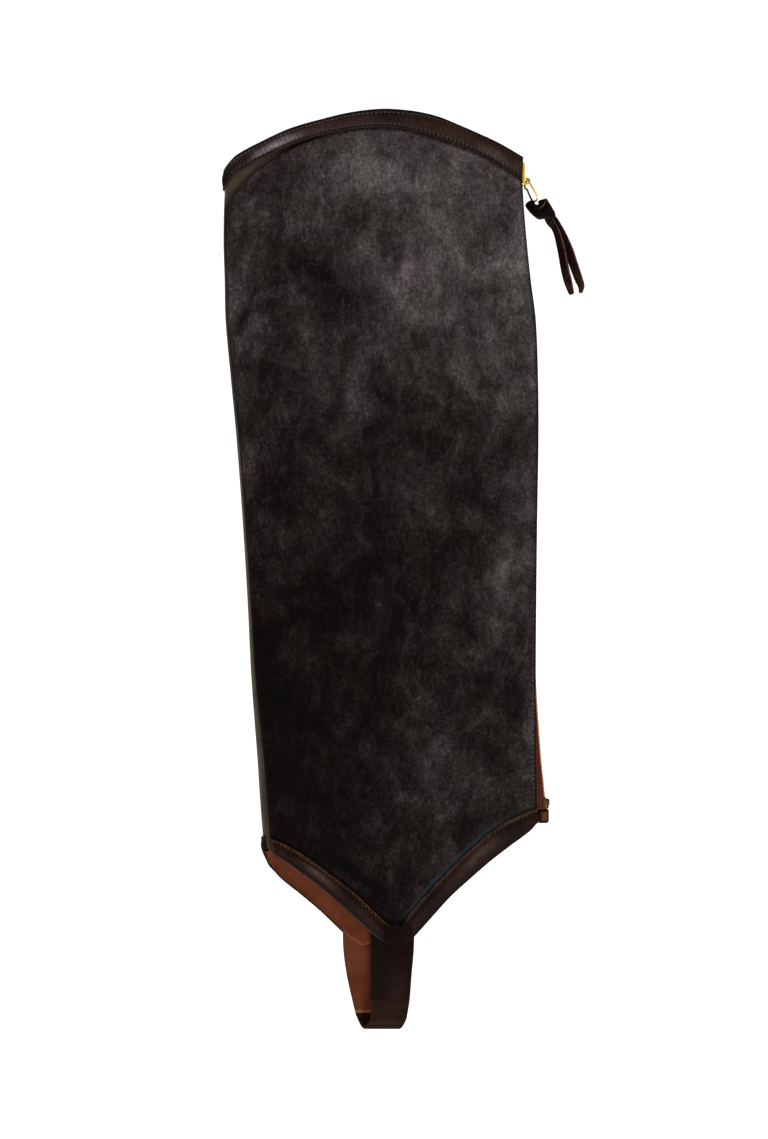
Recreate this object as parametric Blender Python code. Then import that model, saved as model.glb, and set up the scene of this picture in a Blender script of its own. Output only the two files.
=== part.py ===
"""Leather riding gaiter (half chap), zipped and laid flat on a surface.

The gaiter is a leather tube pressed flat. Its cut pieces are drawn in the tube's own coordinates:
p runs round the tube from the front fold (positive over the upper, near side, negative over the
lower, far side), v runs along the leg and w stands out from the tube's middle surface. place()
turns (p, v, w) into a point of the folded form. +X points to the zip, +Y to the knee, +Z up.
All sizes are in millimetres until a mesh is made.
"""

import math

import bmesh
import bpy
from mathutils import Vector

MM = 0.001

# ---- leather, gaps and the folded tube ----
GAP = 0.3  # between neighbouring pieces
PANEL = 1.8  # wall of the suede panels
STRIP = 1.5  # wall of the smooth front strip
BINDING = 1.2  # wall of the bindings and the hem facing
TAPE = 1.0  # wall of the zip tapes
STRAP = 1.8  # wall of the underfoot strap
PANEL_OUT = GAP + PANEL  # outer face of a panel, from the middle surface
FOLD_RADIUS = 5.0  # of the middle surface round the front fold
FOLD_ARC = FOLD_RADIUS * math.pi / 2  # from the fold line to where each side lies flat
END_LIFT = GAP + BINDING  # the tube rises this much over the bindings under it
SAG = 1.5  # the upper side hangs this much between its edges
FAR_SETBACK = 7.0  # the far panel's zip edge lies this far inside the near one
FAR_EDGE_P = -4.5  # where the far panel starts on the fold
STRIP_FAR_P = -7.0  # where the front strip ends under the far panel
STRIP_NEAR_MARGIN = 2.5  # the strip reaches this far past the fold under the near panel
STRIP_LAP = 5.0  # and this far under the suede along the crescent
STRIP_ARM_X = -38.0  # the crescent's end, under the binding
UNDER_BINDING_X = -31.0  # the suede reaches the top edge from here on


def table(columns, *rows):
    """A short table with named columns, as {column: [values down the rows]}."""
    names = columns.split()
    return {name: [row[i] for row in rows] for i, name in enumerate(names)}


# Cross-sections down the leg: the fold line's x, the arc from it to the suede's edge, the near
# panel's zip edge, the outer face of the zip's teeth, the teeth's middle height, and the height of
# the middle surface at the zip edge.
SECTIONS = table(
    "y      fold    seam  zip_edge  teeth  teeth_z  edge_z",
    (-152, -76.6, 7.1, 74.0, 79.6, 7.7, 12.5),
    (-128, -78.6, 7.1, 73.6, 78.8, 7.5, 12.3),
    (-104, -80.2, 6.9, 73.3, 76.6, 6.5, 11.3),
    (-60, -83.5, 5.9, 73.3, 73.7, 5.7, 10.5),
    (-16, -85.7, 5.4, 73.6, 73.1, 5.7, 10.5),
    (28, -88.4, 5.2, 74.1, 73.6, 5.7, 10.5),
    (72, -91.7, 5.1, 74.8, 74.3, 5.7, 10.5),
    (105, -94.8, 5.0, 74.6, 74.1, 5.7, 10.5),
    (138, -97.8, 4.9, 73.3, 72.8, 5.9, 10.8),
    (160, -98.3, 4.8, 70.5, 70.2, 6.3, 11.3),
    (182, -98.9, 4.6, 68.2, 67.9, 6.9, 12.1),
    (205, -98.4, 4.4, 66.3, 66.4, 7.6, 13.1),
    (230, -97.4, 4.4, 65.4, 66.2, 7.8, 13.5),
)
# The top edge on the near side, and the lower edge of its binding.
TOP_NEAR = table(
    "x      edge    binding",
    (-98.0, 222.5, 209.0),
    (-93.0, 227.5, 217.2),
    (-87.0, 231.4, 221.2),
    (-78.5, 235.8, 226.3),
    (-67.5, 241.0, 231.6),
    (-56.5, 244.9, 235.8),
    (-45.5, 247.9, 238.9),
    (-34.5, 250.7, 241.5),
    (-23.5, 252.7, 243.0),
    (-11.4, 253.8, 243.6),
    (-1.5, 253.4, 242.9),
    (9.5, 252.0, 240.6),
    (20.5, 249.2, 237.3),
    (31.5, 244.7, 233.2),
    (42.5, 239.9, 228.6),
    (53.5, 234.7, 222.8),
    (66.4, 227.2, 214.2),
)
# The suede's own top edge where it leaves the crescent showing, and where it dips under the binding.
SUEDE_TOP = table(
    "x      y",
    (-98.0, 199.5),
    (-95.0, 204.0),
    (-89.5, 210.3),
    (-84.0, 216.0),
    (-78.5, 221.0),
    (-67.5, 228.4),
    (-56.5, 234.2),
    (-47.0, 238.2),
    (-38.0, 244.0),
    (UNDER_BINDING_X, 250.0),
)
# The far side's top edge, lower behind the knee.
TOP_FAR = table(
    "x      edge",
    (-95.0, 218.5),
    (-60.0, 211.0),
    (-20.0, 208.5),
    (15.0, 213.5),
    (42.0, 224.6),
    (60.0, 228.0),
)
# The hem's V on the near side, and the upper edge of its binding.
HEM_NEAR = table(
    "x      edge     binding",
    (-78.0, -151.8, -144.2),
    (-73.0, -154.6, -146.9),
    (-67.5, -158.1, -149.0),
    (-56.5, -165.8, -155.0),
    (-45.5, -174.1, -162.7),
    (-34.5, -183.4, -170.9),
    (-23.5, -193.3, -179.8),
    (-13.6, -202.0, -189.3),
    (-8.0, -205.4, -194.2),
    (-3.0, -207.0, -197.6),
    (2.0, -205.0, -191.0),
    (6.2, -201.4, -185.6),
    (15.0, -191.7, -175.7),
    (26.0, -179.6, -164.2),
    (37.0, -169.5, -153.7),
    (48.0, -160.0, -144.6),
    (59.0, -151.5, -137.6),
    (70.0, -143.3, -132.6),
    (74.0, -138.9, -130.9),
)
HEM_FAR = table(
    "x      edge",
    (-76.5, -160.2),
    (-67.8, -170.1),
    (-56.8, -179.0),
    (-45.7, -188.4),
    (-34.7, -198.9),
    (-28.0, -204.8),
    (-22.0, -208.0),
    (-15.0, -204.6),
    (0.0, -192.5),
    (30.0, -171.0),
    (67.0, -144.5),
)
FAR_BINDING_TOP = 10.0  # widths along the leg
FAR_BINDING_HEM = 13.5
FAR_BINDING_FOLD = 9.0  # of the far hem binding where it ends on the fold
INNER_LEG = 8.0  # of the top binding, inside the tube
FACING_DEPTH = 15.0
FACING_START_P = -0.8  # inside the fold
FACING_END_X = 50.0
TIP_X = -22.0  # of the far V
NEAR_TIP_X = -3.0
PATCH_THICK = 1.0
PATCH = table(
    "x      y",
    (-11.0, -203.0),
    (-7.5, -205.6),
    (-3.0, -206.6),
    (1.0, -205.2),
    (5.0, -201.8),
    (5.4, -195.4),
    (2.6, -194.2),
    (-0.5, -195.8),
    (-3.4, -194.4),
    (-6.4, -196.2),
    (-9.4, -195.0),
)
HEM_STEP = 5.0  # between the columns of the hem's pieces, so that their edges match
TOP_STEP = 8.0
FAR_BINDING_END_P = 4.5  # the far hem binding ends just short of the near one

# One long soft crease and one faint ridge run across the suede above the hem.
CREASES = table(
    "x0     y0      x1     y1      depth  width",
    (-45.5, -153.0, -12.5, -176.0, 0.9, 6.0),
    (12.0, -139.0, 31.5, -131.0, -0.5, 7.0),
)

# The underfoot strap: y, and its two edges, on the upper and on the lower strand.
STRAP_NEAR = table(
    "y       left    right",
    (-186.0, -17.5, 6.4),
    (-196.0, -17.5, 6.4),
    (-208.0, -17.5, 6.2),
    (-222.0, -17.5, 5.0),
    (-236.0, -17.5, 3.9),
    (-246.4, -17.5, 2.3),
)
STRAP_FAR = table(
    "y       left    right",
    (-190.0, -33.2, -9.3),
    (-199.0, -33.1, -9.2),
    (-208.0, -32.9, -9.0),
    (-217.0, -32.0, -8.4),
    (-226.0, -30.6, -7.7),
    (-236.0, -28.4, -6.8),
    (-246.4, -25.9, -5.9),
)
STRAP_BEND_Y = -246.4
SOLE_NEAR_Y = -236.6  # the sole piece runs from here round the bend
SOLE_FAR_Y = -245.0  # to here
STRAP_FLOOR_FROM = -209.5  # the lower strand comes down to the surface between these
STRAP_FLOOR_TO = -227.0
STRAP_HANG_Y = -207.0  # beyond the V's tips the strands keep the panels' height
STRAP_EASE = 0.35  # of its cut edges
STRAP_MIDDLE_X = -8.0
BEND_STEPS = 8

# ---- zip ----
TEETH_THICK = 2.4  # along X
TEETH_HIGH = 4.2  # across the chain
CHAIN_LOW_Y = -126.9
CHAIN_HIGH_Y = 218.0
TAPE_LOW_Y = -131.0
TAPE_HIGH_Y = 217.4
TAPE_BEND = (1.6, 1.7)  # the tape's turn to the teeth, in X and in Z
TAPE_UNDER_NEAR = (11.0, 6.0, 2.5)  # where it lies under the near panel, from the edge
TAPE_UNDER_FAR = (8.0, 4.0, 0.3)  # and on the far one
TAPE_DROP = 5.3  # from the teeth's middle to the far tape, over the surface
SLIDER_Y = (212.4, 224.8)
SLIDER_WALL = 0.9
SLIDER_SLOT = 1.6
SLIDER_CHAMFER = 0.8
BOX_Y = (-139.0, -131.3)
BOX_THICK = 4.4
BOX_HIGH = 8.0
PIN_THICK = 1.8
PIN_HIGH = 3.4
BAR_CHAMFER = 0.4

# ---- the pull, which turns on the slider's bridge ----
HINGE_Y = 215.0
HINGE_OUT = 1.35  # beyond the slider's face
PULL_ANGLE = math.radians(22.0)  # at rest, from -Y towards +X
RING_LENGTH = 10.4
RING_HIGH = 5.2
WIRE = 1.3
RING_CORNER = 0.9  # cut off each corner by a short turn
BRIDGE_HOLE = 1.0
BRIDGE_WALL = 0.8
BRIDGE_HIGH = 2.0
BRIDGE_FOOT = 0.5  # of its legs, inside the slider's plate
KNOT_LAYERS = table(
    "z     size",
    (1.4, 0.86),
    (2.6, 0.97),
    (4.0, 1.0),
    (6.8, 1.0),
    (8.2, 0.97),
    (9.4, 0.86),
)
KNOT_NOTCH = (3, 4)  # the outline's corners that the ring's end lies in
KNOT_OUTLINE = table(
    "x      y",
    (68.3, 202.2),
    (70.9, 204.4),
    (72.0, 205.2),
    (72.6, 202.3),
    (75.2, 201.0),
    (76.0, 204.4),
    (78.6, 205.6),
    (81.4, 201.6),
    (83.9, 197.0),
    (81.3, 194.8),
    (77.6, 194.5),
    (73.8, 196.0),
)
TAIL_THICK = 1.6
TAIL_CHAMFER = 0.3
TAIL_LEFT = table(
    "x      y       z     width  tilt",
    (80.6, 194.3, 6.2, 5.0, -8),
    (81.8, 192.3, 5.9, 4.5, -14),
    (83.9, 189.6, 5.5, 3.9, -22),
    (85.9, 185.2, 4.9, 4.1, -30),
    (88.2, 177.0, 4.0, 4.8, -36),
    (90.3, 167.5, 3.2, 5.0, -36),
    (92.4, 160.1, 2.6, 5.0, -30),
    (94.6, 153.4, 2.2, 3.0, -24),
)
TAIL_RIGHT = table(
    "x      y       z     width  tilt",
    (82.9, 195.6, 3.4, 3.0, -8),
    (84.2, 193.9, 3.3, 3.6, -10),
    (85.9, 190.8, 3.2, 3.9, -12),
    (88.1, 186.4, 3.1, 4.3, -16),
    (91.7, 177.8, 2.8, 5.0, -20),
    (94.3, 169.2, 2.5, 5.0, -20),
    (96.7, 161.6, 2.2, 5.0, -18),
    (98.0, 157.4, 2.0, 4.3, -14),
    (98.3, 153.0, 1.9, 2.2, -12),
)


# ---- curves through the tables ----
def along(rows, by, column, at):
    """A column's value on a smooth curve through its rows, at a value of the column `by`."""
    xs, ys = rows[by], rows[column]
    if xs[0] > xs[-1]:
        xs, ys = xs[::-1], ys[::-1]
    at = min(max(at, xs[0]), xs[-1])
    i = max(k for k in range(len(xs) - 1) if xs[k] <= at)
    slopes = [
        (ys[b] - ys[a]) / (xs[b] - xs[a])
        for a, b in (
            (max(i - 1, 0), min(i + 1, len(xs) - 1)),
            (i, min(i + 2, len(xs) - 1)),
        )
    ]
    step = xs[i + 1] - xs[i]
    t = (at - xs[i]) / step
    rise = ys[i + 1] - ys[i]
    bow = (slopes[0] * step - rise) * (1 - t) + (rise - slopes[1] * step) * t
    return ys[i] + rise * t + t * (1 - t) * bow


def smooth(low, high, value):
    """0 below low, 1 above high, and an easy curve between."""
    t = min(max((value - low) / (high - low), 0), 1)
    return t * t * (3 - 2 * t)


def section(column, y):
    return along(SECTIONS, "y", column, y)


def fold_centre_x(y):
    return section("fold", y) + FOLD_RADIUS


def far_edge_x(y):
    return section("zip_edge", y) - FAR_SETBACK


# ---- the folded tube ----
def end_lift(x, y):
    """1 over the bindings of the far side and 0 where the far panel lies on the surface."""
    top = 1 - smooth(FAR_BINDING_TOP + 1, 45, along(TOP_FAR, "x", "edge", x) - y)
    hem = 1 - smooth(FAR_BINDING_HEM + 2, 50, y - along(HEM_FAR, "x", "edge", x))
    return max(top, hem)


def far_z(x, y):
    return PANEL_OUT + END_LIFT * end_lift(x, y)


def near_z(x, y):
    """Height of the upper side's middle surface, with its sag, its drop to the zip and creases."""
    left, right = fold_centre_x(y), section("zip_edge", y)
    s = min(max((x - left) / (right - left), 0), 1)
    fold = far_z(left, y) + 2 * FOLD_RADIUS
    z = fold + (section("edge_z", y) - fold) * smooth(0.35, 1, s)
    z -= SAG * (1 - end_lift(left, y)) * math.sin(math.pi * s) ** 2
    for x0, y0, x1, y1, depth, width in zip(*CREASES.values()):
        length = math.hypot(x1 - x0, y1 - y0)
        t = ((x - x0) * (x1 - x0) + (y - y0) * (y1 - y0)) / length**2
        off = math.hypot(x - x0 - t * (x1 - x0), y - y0 - t * (y1 - y0))
        ends = smooth(-0.25, 0.25, t) * (1 - smooth(0.75, 1.25, t))
        z -= depth * ends * math.exp(-((off / width) ** 2))
    return z


def middle(p, y):
    """A point of the tube's middle surface."""
    centre = fold_centre_x(y)
    if abs(p) <= FOLD_ARC:
        turn = p / FOLD_RADIUS
        height = far_z(centre, y) + FOLD_RADIUS * (1 + math.sin(turn))
        return Vector((centre - FOLD_RADIUS * math.cos(turn), y, height))
    x = centre + abs(p) - FOLD_ARC
    return Vector((x, y, near_z(x, y) if p > 0 else far_z(x, y)))


def place(p, y, w):
    """The point of the folded tube at p, y that stands w out from its middle surface."""
    step = 0.2
    across = middle(p + step, y) - middle(p - step, y)
    up = middle(p, y + step) - middle(p, y - step)
    return middle(p, y) + across.cross(up).normalized() * w


def x_of(p, y):
    return fold_centre_x(y) + max(abs(p) - FOLD_ARC, 0)


def p_of(x, y, side):
    return side * (FOLD_ARC + x - fold_centre_x(y))


def round_fold(near, far, p, y):
    """An edge's y at p, eased round the fold from its far value to its near one."""
    x = middle(p, y).x
    if p >= FOLD_ARC:
        return near(x)
    if p <= -FOLD_ARC:
        return far(x)
    share = smooth(-FOLD_ARC, FOLD_ARC, p)
    return far(x) + (near(x) - far(x)) * share


def top_edge(p, y=222.0):
    return round_fold(
        lambda x: along(TOP_NEAR, "x", "edge", x),
        lambda x: along(TOP_FAR, "x", "edge", x),
        p,
        y,
    )


def hem_edge(p, y=-157.0):
    return round_fold(
        lambda x: along(HEM_NEAR, "x", "edge", x),
        lambda x: along(HEM_FAR, "x", "edge", x),
        p,
        y,
    )


def settle(edge, x, side, guess):
    """p and y where a column at x meets an edge that is given by p."""
    y = guess
    for _ in range(6):
        p = p_of(x, y, side)
        y = edge(p, y)
    return p, y


# ---- mesh makers ----
def finish(name, bm, material):
    bmesh.ops.recalc_face_normals(bm, faces=bm.faces)
    mesh = bpy.data.meshes.new(name)
    bm.to_mesh(mesh)
    bm.free()
    mesh.shade_smooth()
    mesh.set_sharp_from_angle(angle=math.radians(40))
    mesh.materials.append(material)
    piece = bpy.data.objects.new(name, mesh)
    gaiter.objects.link(piece)
    return piece


def metres(point):
    return Vector(point) * MM


def grid_lines(low, high, step):
    count = math.ceil((high - low) / step)
    return [low + (high - low) * i / count for i in range(1, count)]


def cut_piece(name, outline, inner, outer, material, across=12.0, down=16.0):
    """A piece cut to an outline of (p, y) corners and laid on the tube between two levels.

    The flat cut is scored by lines across and down it, finer round the fold, then each point is
    placed twice, at its inner and outer level, and the cut edge closes the wall.
    """
    flat = bmesh.new()
    flat.faces.new([flat.verts.new((p, y, 0)) for p, y in outline])
    ps, ys = [p for p, _ in outline], [y for _, y in outline]
    fold = [FOLD_ARC * i / 6 for i in range(-6, 7)]
    lines = [p for p in fold if min(ps) + 0.5 < p < max(ps) - 0.5]
    lines += grid_lines(FOLD_ARC, max(ps), across) if max(ps) > FOLD_ARC else []
    lines += grid_lines(min(ps), -FOLD_ARC, across) if min(ps) < -FOLD_ARC else []
    cuts = [((p, 0, 0), (1, 0, 0)) for p in lines]
    cuts += [((0, y, 0), (0, 1, 0)) for y in grid_lines(min(ys), max(ys), down)]
    for point, normal in cuts:
        geometry = flat.verts[:] + flat.edges[:] + flat.faces[:]
        bmesh.ops.bisect_plane(
            flat, geom=geometry, dist=0.05, plane_co=point, plane_no=normal
        )
    solid = bmesh.new()
    levels = [
        {
            vert: solid.verts.new(metres(place(*vert.co.xy, level(*vert.co.xy))))
            for vert in flat.verts
        }
        for level in (inner, outer)
    ]
    for face in flat.faces:
        for level in levels:
            solid.faces.new([level[vert] for vert in face.verts])
    for edge in flat.edges:
        if edge.is_boundary:
            a, b = edge.verts
            solid.faces.new([levels[0][a], levels[0][b], levels[1][b], levels[1][a]])
    flat.free()
    bmesh.ops.triangulate(solid, faces=solid.faces)
    return finish(name, solid, material)


def loft(name, loops, material, closed=False):
    """A solid through loops of points, capped at both ends or closed into a ring."""
    bm = bmesh.new()
    rings = [[bm.verts.new(metres(point)) for point in loop] for loop in loops]
    for a, b in zip(rings, rings[1:] + (rings[:1] if closed else [])):
        for k in range(len(a)):
            n = (k + 1) % len(a)
            bm.faces.new([a[k], a[n], b[n], b[k]])
    if not closed:
        for ring in (rings[0], rings[-1]):
            bm.faces.new(ring)
    return finish(name, bm, material)


def sweep(path, plane, corners, closed=False):
    """A bar's loops: its section's corners carried along a path that lies in a plane."""
    loops = []
    for i, point in enumerate(path):
        before = path[i - 1] if closed or i > 0 else point
        after = path[(i + 1) % len(path)] if closed or i + 1 < len(path) else point
        side = (after - before).normalized().cross(plane)
        loops.append([point + side * u + plane * v for u, v in corners])
    return loops


def leather(name, colour, roughness, metallic=0.0):
    material = bpy.data.materials.new(name)
    material.use_nodes = True
    shader = material.node_tree.nodes["Principled BSDF"]
    shader.inputs["Base Color"].default_value = (*colour, 1)
    shader.inputs["Roughness"].default_value = roughness
    shader.inputs["Metallic"].default_value = metallic
    return material


# ---- the suede panels and the front strip ----
def constant(value):
    return lambda p, y: value


def spaced(stops, step):
    """Values from stop to stop, about a step apart, with every stop among them."""
    values = [stops[0]]
    for a, b in zip(stops, stops[1:]):
        count = max(1, round(abs(b - a) / step))
        values += [a + (b - a) * i / count for i in range(1, count + 1)]
    return values


def near_points(edge, stops, step, guess):
    """(p, y) points along an edge of the near side, from one x to the next."""
    return [settle(edge, x, 1, guess) for x in spaced(stops, step)]


def far_points(edge, stops, step, guess):
    return [settle(edge, x, -1, guess) for x in spaced(stops, step)]


def hem_stops(side):
    """The hem's two ends and the tip of its V, on one side."""
    if side > 0:
        return [fold_centre_x(-152), NEAR_TIP_X, section("zip_edge", -137) - 0.1]
    return [fold_centre_x(-162), TIP_X, far_edge_x(-143) - 0.1]


def suede_top(p, y):
    x = x_of(p, y)
    inside = along(TOP_NEAR, "x", "edge", x) - BINDING - GAP
    if x >= UNDER_BINDING_X:
        return inside
    return min(along(SUEDE_TOP, "x", "y", x), inside)


def make_near_panel():
    def hem(p, y):
        return along(HEM_NEAR, "x", "edge", x_of(p, y)) + BINDING + GAP

    bottom = near_points(hem, hem_stops(1), HEM_STEP, -170)
    right = [(p_of(section("zip_edge", y), y, 1), y) for y in range(-120, 220, 20)]
    top = near_points(suede_top, [section("zip_edge", 226), fold_centre_x(206) + 1], 5, 235)
    left = [(section("seam", y), y) for y in range(190, -145, -20)]
    corner_top = [(section("seam", 200), 200.5)]
    corner_low = [(section("seam", -152), -151.5)]
    outline = bottom + right + top + corner_top + left + corner_low
    cut_piece("near_panel", outline, constant(GAP), constant(PANEL_OUT), suede)


def make_far_panel():
    def hem(p, y):
        return hem_edge(p, y) + BINDING + GAP

    def top(p, y):
        return top_edge(p, y) - BINDING - GAP

    fold = (-FOLD_ARC * 5 / 6, FAR_EDGE_P)
    outline = [(p, hem(p, -160)) for p in reversed(fold)]
    outline += far_points(hem, hem_stops(-1), HEM_STEP, -180)
    outline += [(p_of(far_edge_x(y), y, -1), y) for y in range(-120, 220, 20)]
    outline += far_points(top, [far_edge_x(225), fold_centre_x(217)], TOP_STEP, 215)
    outline += [(p, top(p, 220)) for p in fold]
    cut_piece(
        "far_panel", outline, constant(GAP), constant(PANEL_OUT), suede, across=16.0, down=13.0
    )


def make_front_strip():
    """Round the fold from hem to top, with an arm along the top edge under binding and suede."""

    def under_suede(p, y):
        return along(SUEDE_TOP, "x", "y", x_of(p, y)) - STRIP_LAP

    def top(p, y):
        return top_edge(p, y) - BINDING - 2 * GAP

    margin = FOLD_ARC + STRIP_NEAR_MARGIN
    fold = [FOLD_ARC * i / 6 for i in range(-5, 7)]
    bottom = [(STRIP_FAR_P, hem_edge(STRIP_FAR_P) + BINDING + GAP)]
    bottom += [(p, hem_edge(p) + BINDING + GAP) for p in fold]
    bottom += [(margin, hem_edge(margin) + BINDING + GAP)]
    side = [(margin, y) for y in range(-140, 200, 20)]
    arm_start = fold_centre_x(205) + STRIP_NEAR_MARGIN + 1
    arm_low = near_points(under_suede, [arm_start, STRIP_ARM_X], 5, 215)
    arm_top = near_points(top, [STRIP_ARM_X, fold_centre_x(226) + 2], 5, 240)
    over = [(p, top(p, 224)) for p in reversed(fold)]
    over += [(STRIP_FAR_P, top(STRIP_FAR_P, 222))]
    outline = bottom + side + arm_low + arm_top + over
    cut_piece("front_strip", outline, constant(-STRIP), constant(0.0), smooth_leather)


# ---- bindings, facing and patch ----
def over_panels(p, y):
    """Outer level of what the bindings cover: the strip alone at the fold, a panel elsewhere."""
    if p <= 0:
        return PANEL_OUT * (1 - smooth(-4.2, -1.0, p))
    if y < 0:
        return PANEL_OUT * smooth(FAR_BINDING_END_P, 7.0, p)
    return PANEL_OUT * smooth(-72.0, -60.0, x_of(p, y)) if p > FOLD_ARC else 0.0


def inside_panels(p, y):
    """Inner level of what the top binding covers: the strip near the fold, a panel elsewhere."""
    if p > 0:
        share = smooth(STRIP_ARM_X + 2, STRIP_ARM_X + 8, x_of(p, y)) if p > FOLD_ARC else 0.0
    else:
        share = 1 - smooth(-12.0, STRIP_FAR_P - 0.7, p)
    return -STRIP + (STRIP + GAP) * share


def edge_loop(p, edge, lower, levels):
    """One cross-section of a trim: (y, w) pairs placed at p."""
    return [place(p, y, w) for y, w in levels(p, edge, lower)]


def top_profile(p, edge, lower):
    """A U over the top edge: outer leg, the turn, and an inner leg."""
    out, into = over_panels(p, edge) + GAP, inside_panels(p, edge) - GAP
    inner = edge - INNER_LEG
    turn = BINDING
    return [
        (lower, out),
        (lower, out + turn * 0.7),
        (lower + 0.5, out + turn),
        (edge - 1.1, out + turn),
        (edge - 0.3, out + turn * 0.5),
        (edge, (out + into) / 2),
        (edge - 0.3, into - turn * 0.5),
        (edge - 1.1, into - turn),
        (inner, into - turn),
        (inner, into),
        (edge - turn, into),
        (edge - turn, out),
    ]


def hem_profile(p, edge, upper):
    """An outer leg turned round the hem's edge, ending level with the wall's inner face."""
    under = over_panels(p, edge)
    out, end = under + GAP, under - PANEL
    return [
        (upper, out),
        (upper, out + BINDING * 0.7),
        (upper - 0.5, out + BINDING),
        (edge + 1.1, out + BINDING),
        (edge + 0.3, out + BINDING * 0.5),
        (edge, under),
        (edge, end + 0.5),
        (edge + 0.4, end),
        (edge + BINDING, end),
        (edge + BINDING, out),
    ]


def fold_columns(p_from, p_to):
    return [FOLD_ARC * i / 6 for i in range(-6, 7) if p_from <= FOLD_ARC * i / 6 <= p_to]


def make_top_binding():
    points = far_points(top_edge, [far_edge_x(225), fold_centre_x(217)], TOP_STEP, 215)
    points += [(p, top_edge(p, 222)) for p in fold_columns(0.1 - FOLD_ARC, FOLD_ARC - 0.1)]
    x_end = section("zip_edge", 226) + 0.8
    points += near_points(top_edge, [fold_centre_x(227), x_end], 6, 235)
    loops = []
    for p, edge in points:
        near_lower = along(TOP_NEAR, "x", "binding", middle(p, edge).x)
        share = smooth(-FOLD_ARC, FOLD_ARC, p)
        lower = (edge - FAR_BINDING_TOP) * (1 - share) + near_lower * share
        loops.append(edge_loop(p, edge, lower, top_profile))
    loft("top_binding", loops, glossy_brown)


def make_hem_bindings():
    def near_hem(p, y):
        return along(HEM_NEAR, "x", "edge", x_of(p, y))

    seam = section("seam", -150) + 0.3
    points = [(seam, near_hem(seam, -153))] + near_points(near_hem, hem_stops(1), HEM_STEP, -170)
    loops = []
    for p, edge in points:
        upper = along(HEM_NEAR, "x", "binding", x_of(p, edge))
        loops.append(edge_loop(p, edge, upper, hem_profile))
    loft("hem_binding_near", loops, glossy_brown)

    points = far_points(hem_edge, hem_stops(-1), HEM_STEP, -180)[::-1]
    fold = [*fold_columns(0.1 - FOLD_ARC, FAR_BINDING_END_P - 0.3), FAR_BINDING_END_P]
    points += [(p, hem_edge(p, -160)) for p in fold]
    loops = []
    for p, edge in points:
        taper = (FAR_BINDING_HEM - FAR_BINDING_FOLD) * smooth(-FOLD_ARC, 0.0, p)
        loops.append(edge_loop(p, edge, edge + FAR_BINDING_HEM - taper, hem_profile))
    loft("hem_binding_far", loops, glossy_brown)


def facing_lift(p, y):
    """The facing passes over the strap's end, sewn under it, and over the strip at the fold."""
    left, right = STRAP_FAR["left"][0], STRAP_FAR["right"][0]
    x = x_of(p, y)
    strap = smooth(left - 8, left - 2, x) * (1 - smooth(right + 2, right + 8, x))
    strip = smooth(-12.0, STRIP_FAR_P - 0.7, p)
    return -(STRAP + GAP) * strap - (STRIP + 2 * GAP) * strip


def make_hem_facing():
    def low(p, y):
        return hem_edge(p, y) + 1.0

    def high(p, y):
        return hem_edge(p, y) + FACING_DEPTH

    stops = [hem_stops(-1)[0] + 0.6, TIP_X, FACING_END_X]
    fold = [FACING_START_P, *reversed(fold_columns(0.1 - FOLD_ARC, FACING_START_P - 0.3))]
    outline = [(p, low(p, -161)) for p in fold]
    outline += far_points(low, stops, 5, -175)
    outline += far_points(high, stops[::-1], 7, -165)
    outline += [(p, high(p, -147)) for p in reversed(fold)]
    cut_piece(
        "hem_facing_far",
        outline,
        lambda p, y: facing_lift(p, y) - BINDING,
        facing_lift,
        rust_leather,
        across=5.0,
        down=30.0,
    )


def make_hem_patch():
    """The small patch over the tip of the near V: its upper edge uneven, its lower edge bowed."""
    level = PANEL_OUT + 2 * GAP + BINDING
    outline = [(p_of(x, y, 1), y) for x, y in zip(PATCH["x"], PATCH["y"])]
    top = constant(level + PATCH_THICK)
    cut_piece("hem_patch", outline, constant(level), top, glossy_brown, 20, 30)


# ---- the underfoot strap ----
def strap_loop(y, left, right, surface, low, high):
    """A strap's cross-section at y, between two levels from a surface, its edges eased."""
    inside = [left + (right - left) * share for share in (0.25, 0.5, 0.75)]
    xs = [left + STRAP_EASE, *inside, right - STRAP_EASE]

    def face(level, ease):
        ends = [(x, surface(x, y) + level - ease) for x in (left, right)]
        return [ends[0], *[(x, surface(x, y) + level) for x in xs], ends[1]]

    loop = face(high, STRAP_EASE) + face(low, -STRAP_EASE)[::-1]
    return [(x, y, z) for x, z in loop]


def strap_edges(rows, y):
    return [along(rows, "y", side, y) for side in ("left", "right")]


def near_strand(x, y):
    flat = smooth(-STRAP_HANG_Y, -SOLE_NEAR_Y, -y)
    return near_z(x + (STRAP_MIDDLE_X - x) * flat, max(y, STRAP_HANG_Y))


def far_strand(x, y):
    falling = smooth(-STRAP_FLOOR_FROM, -STRAP_FLOOR_TO, -y)
    return far_z(x, max(y, STRAP_HANG_Y)) * (1 - falling)


def strand_loops(rows, surface, low, high, ys):
    return [strap_loop(y, *strap_edges(rows, y), surface, low, high) for y in ys]


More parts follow.
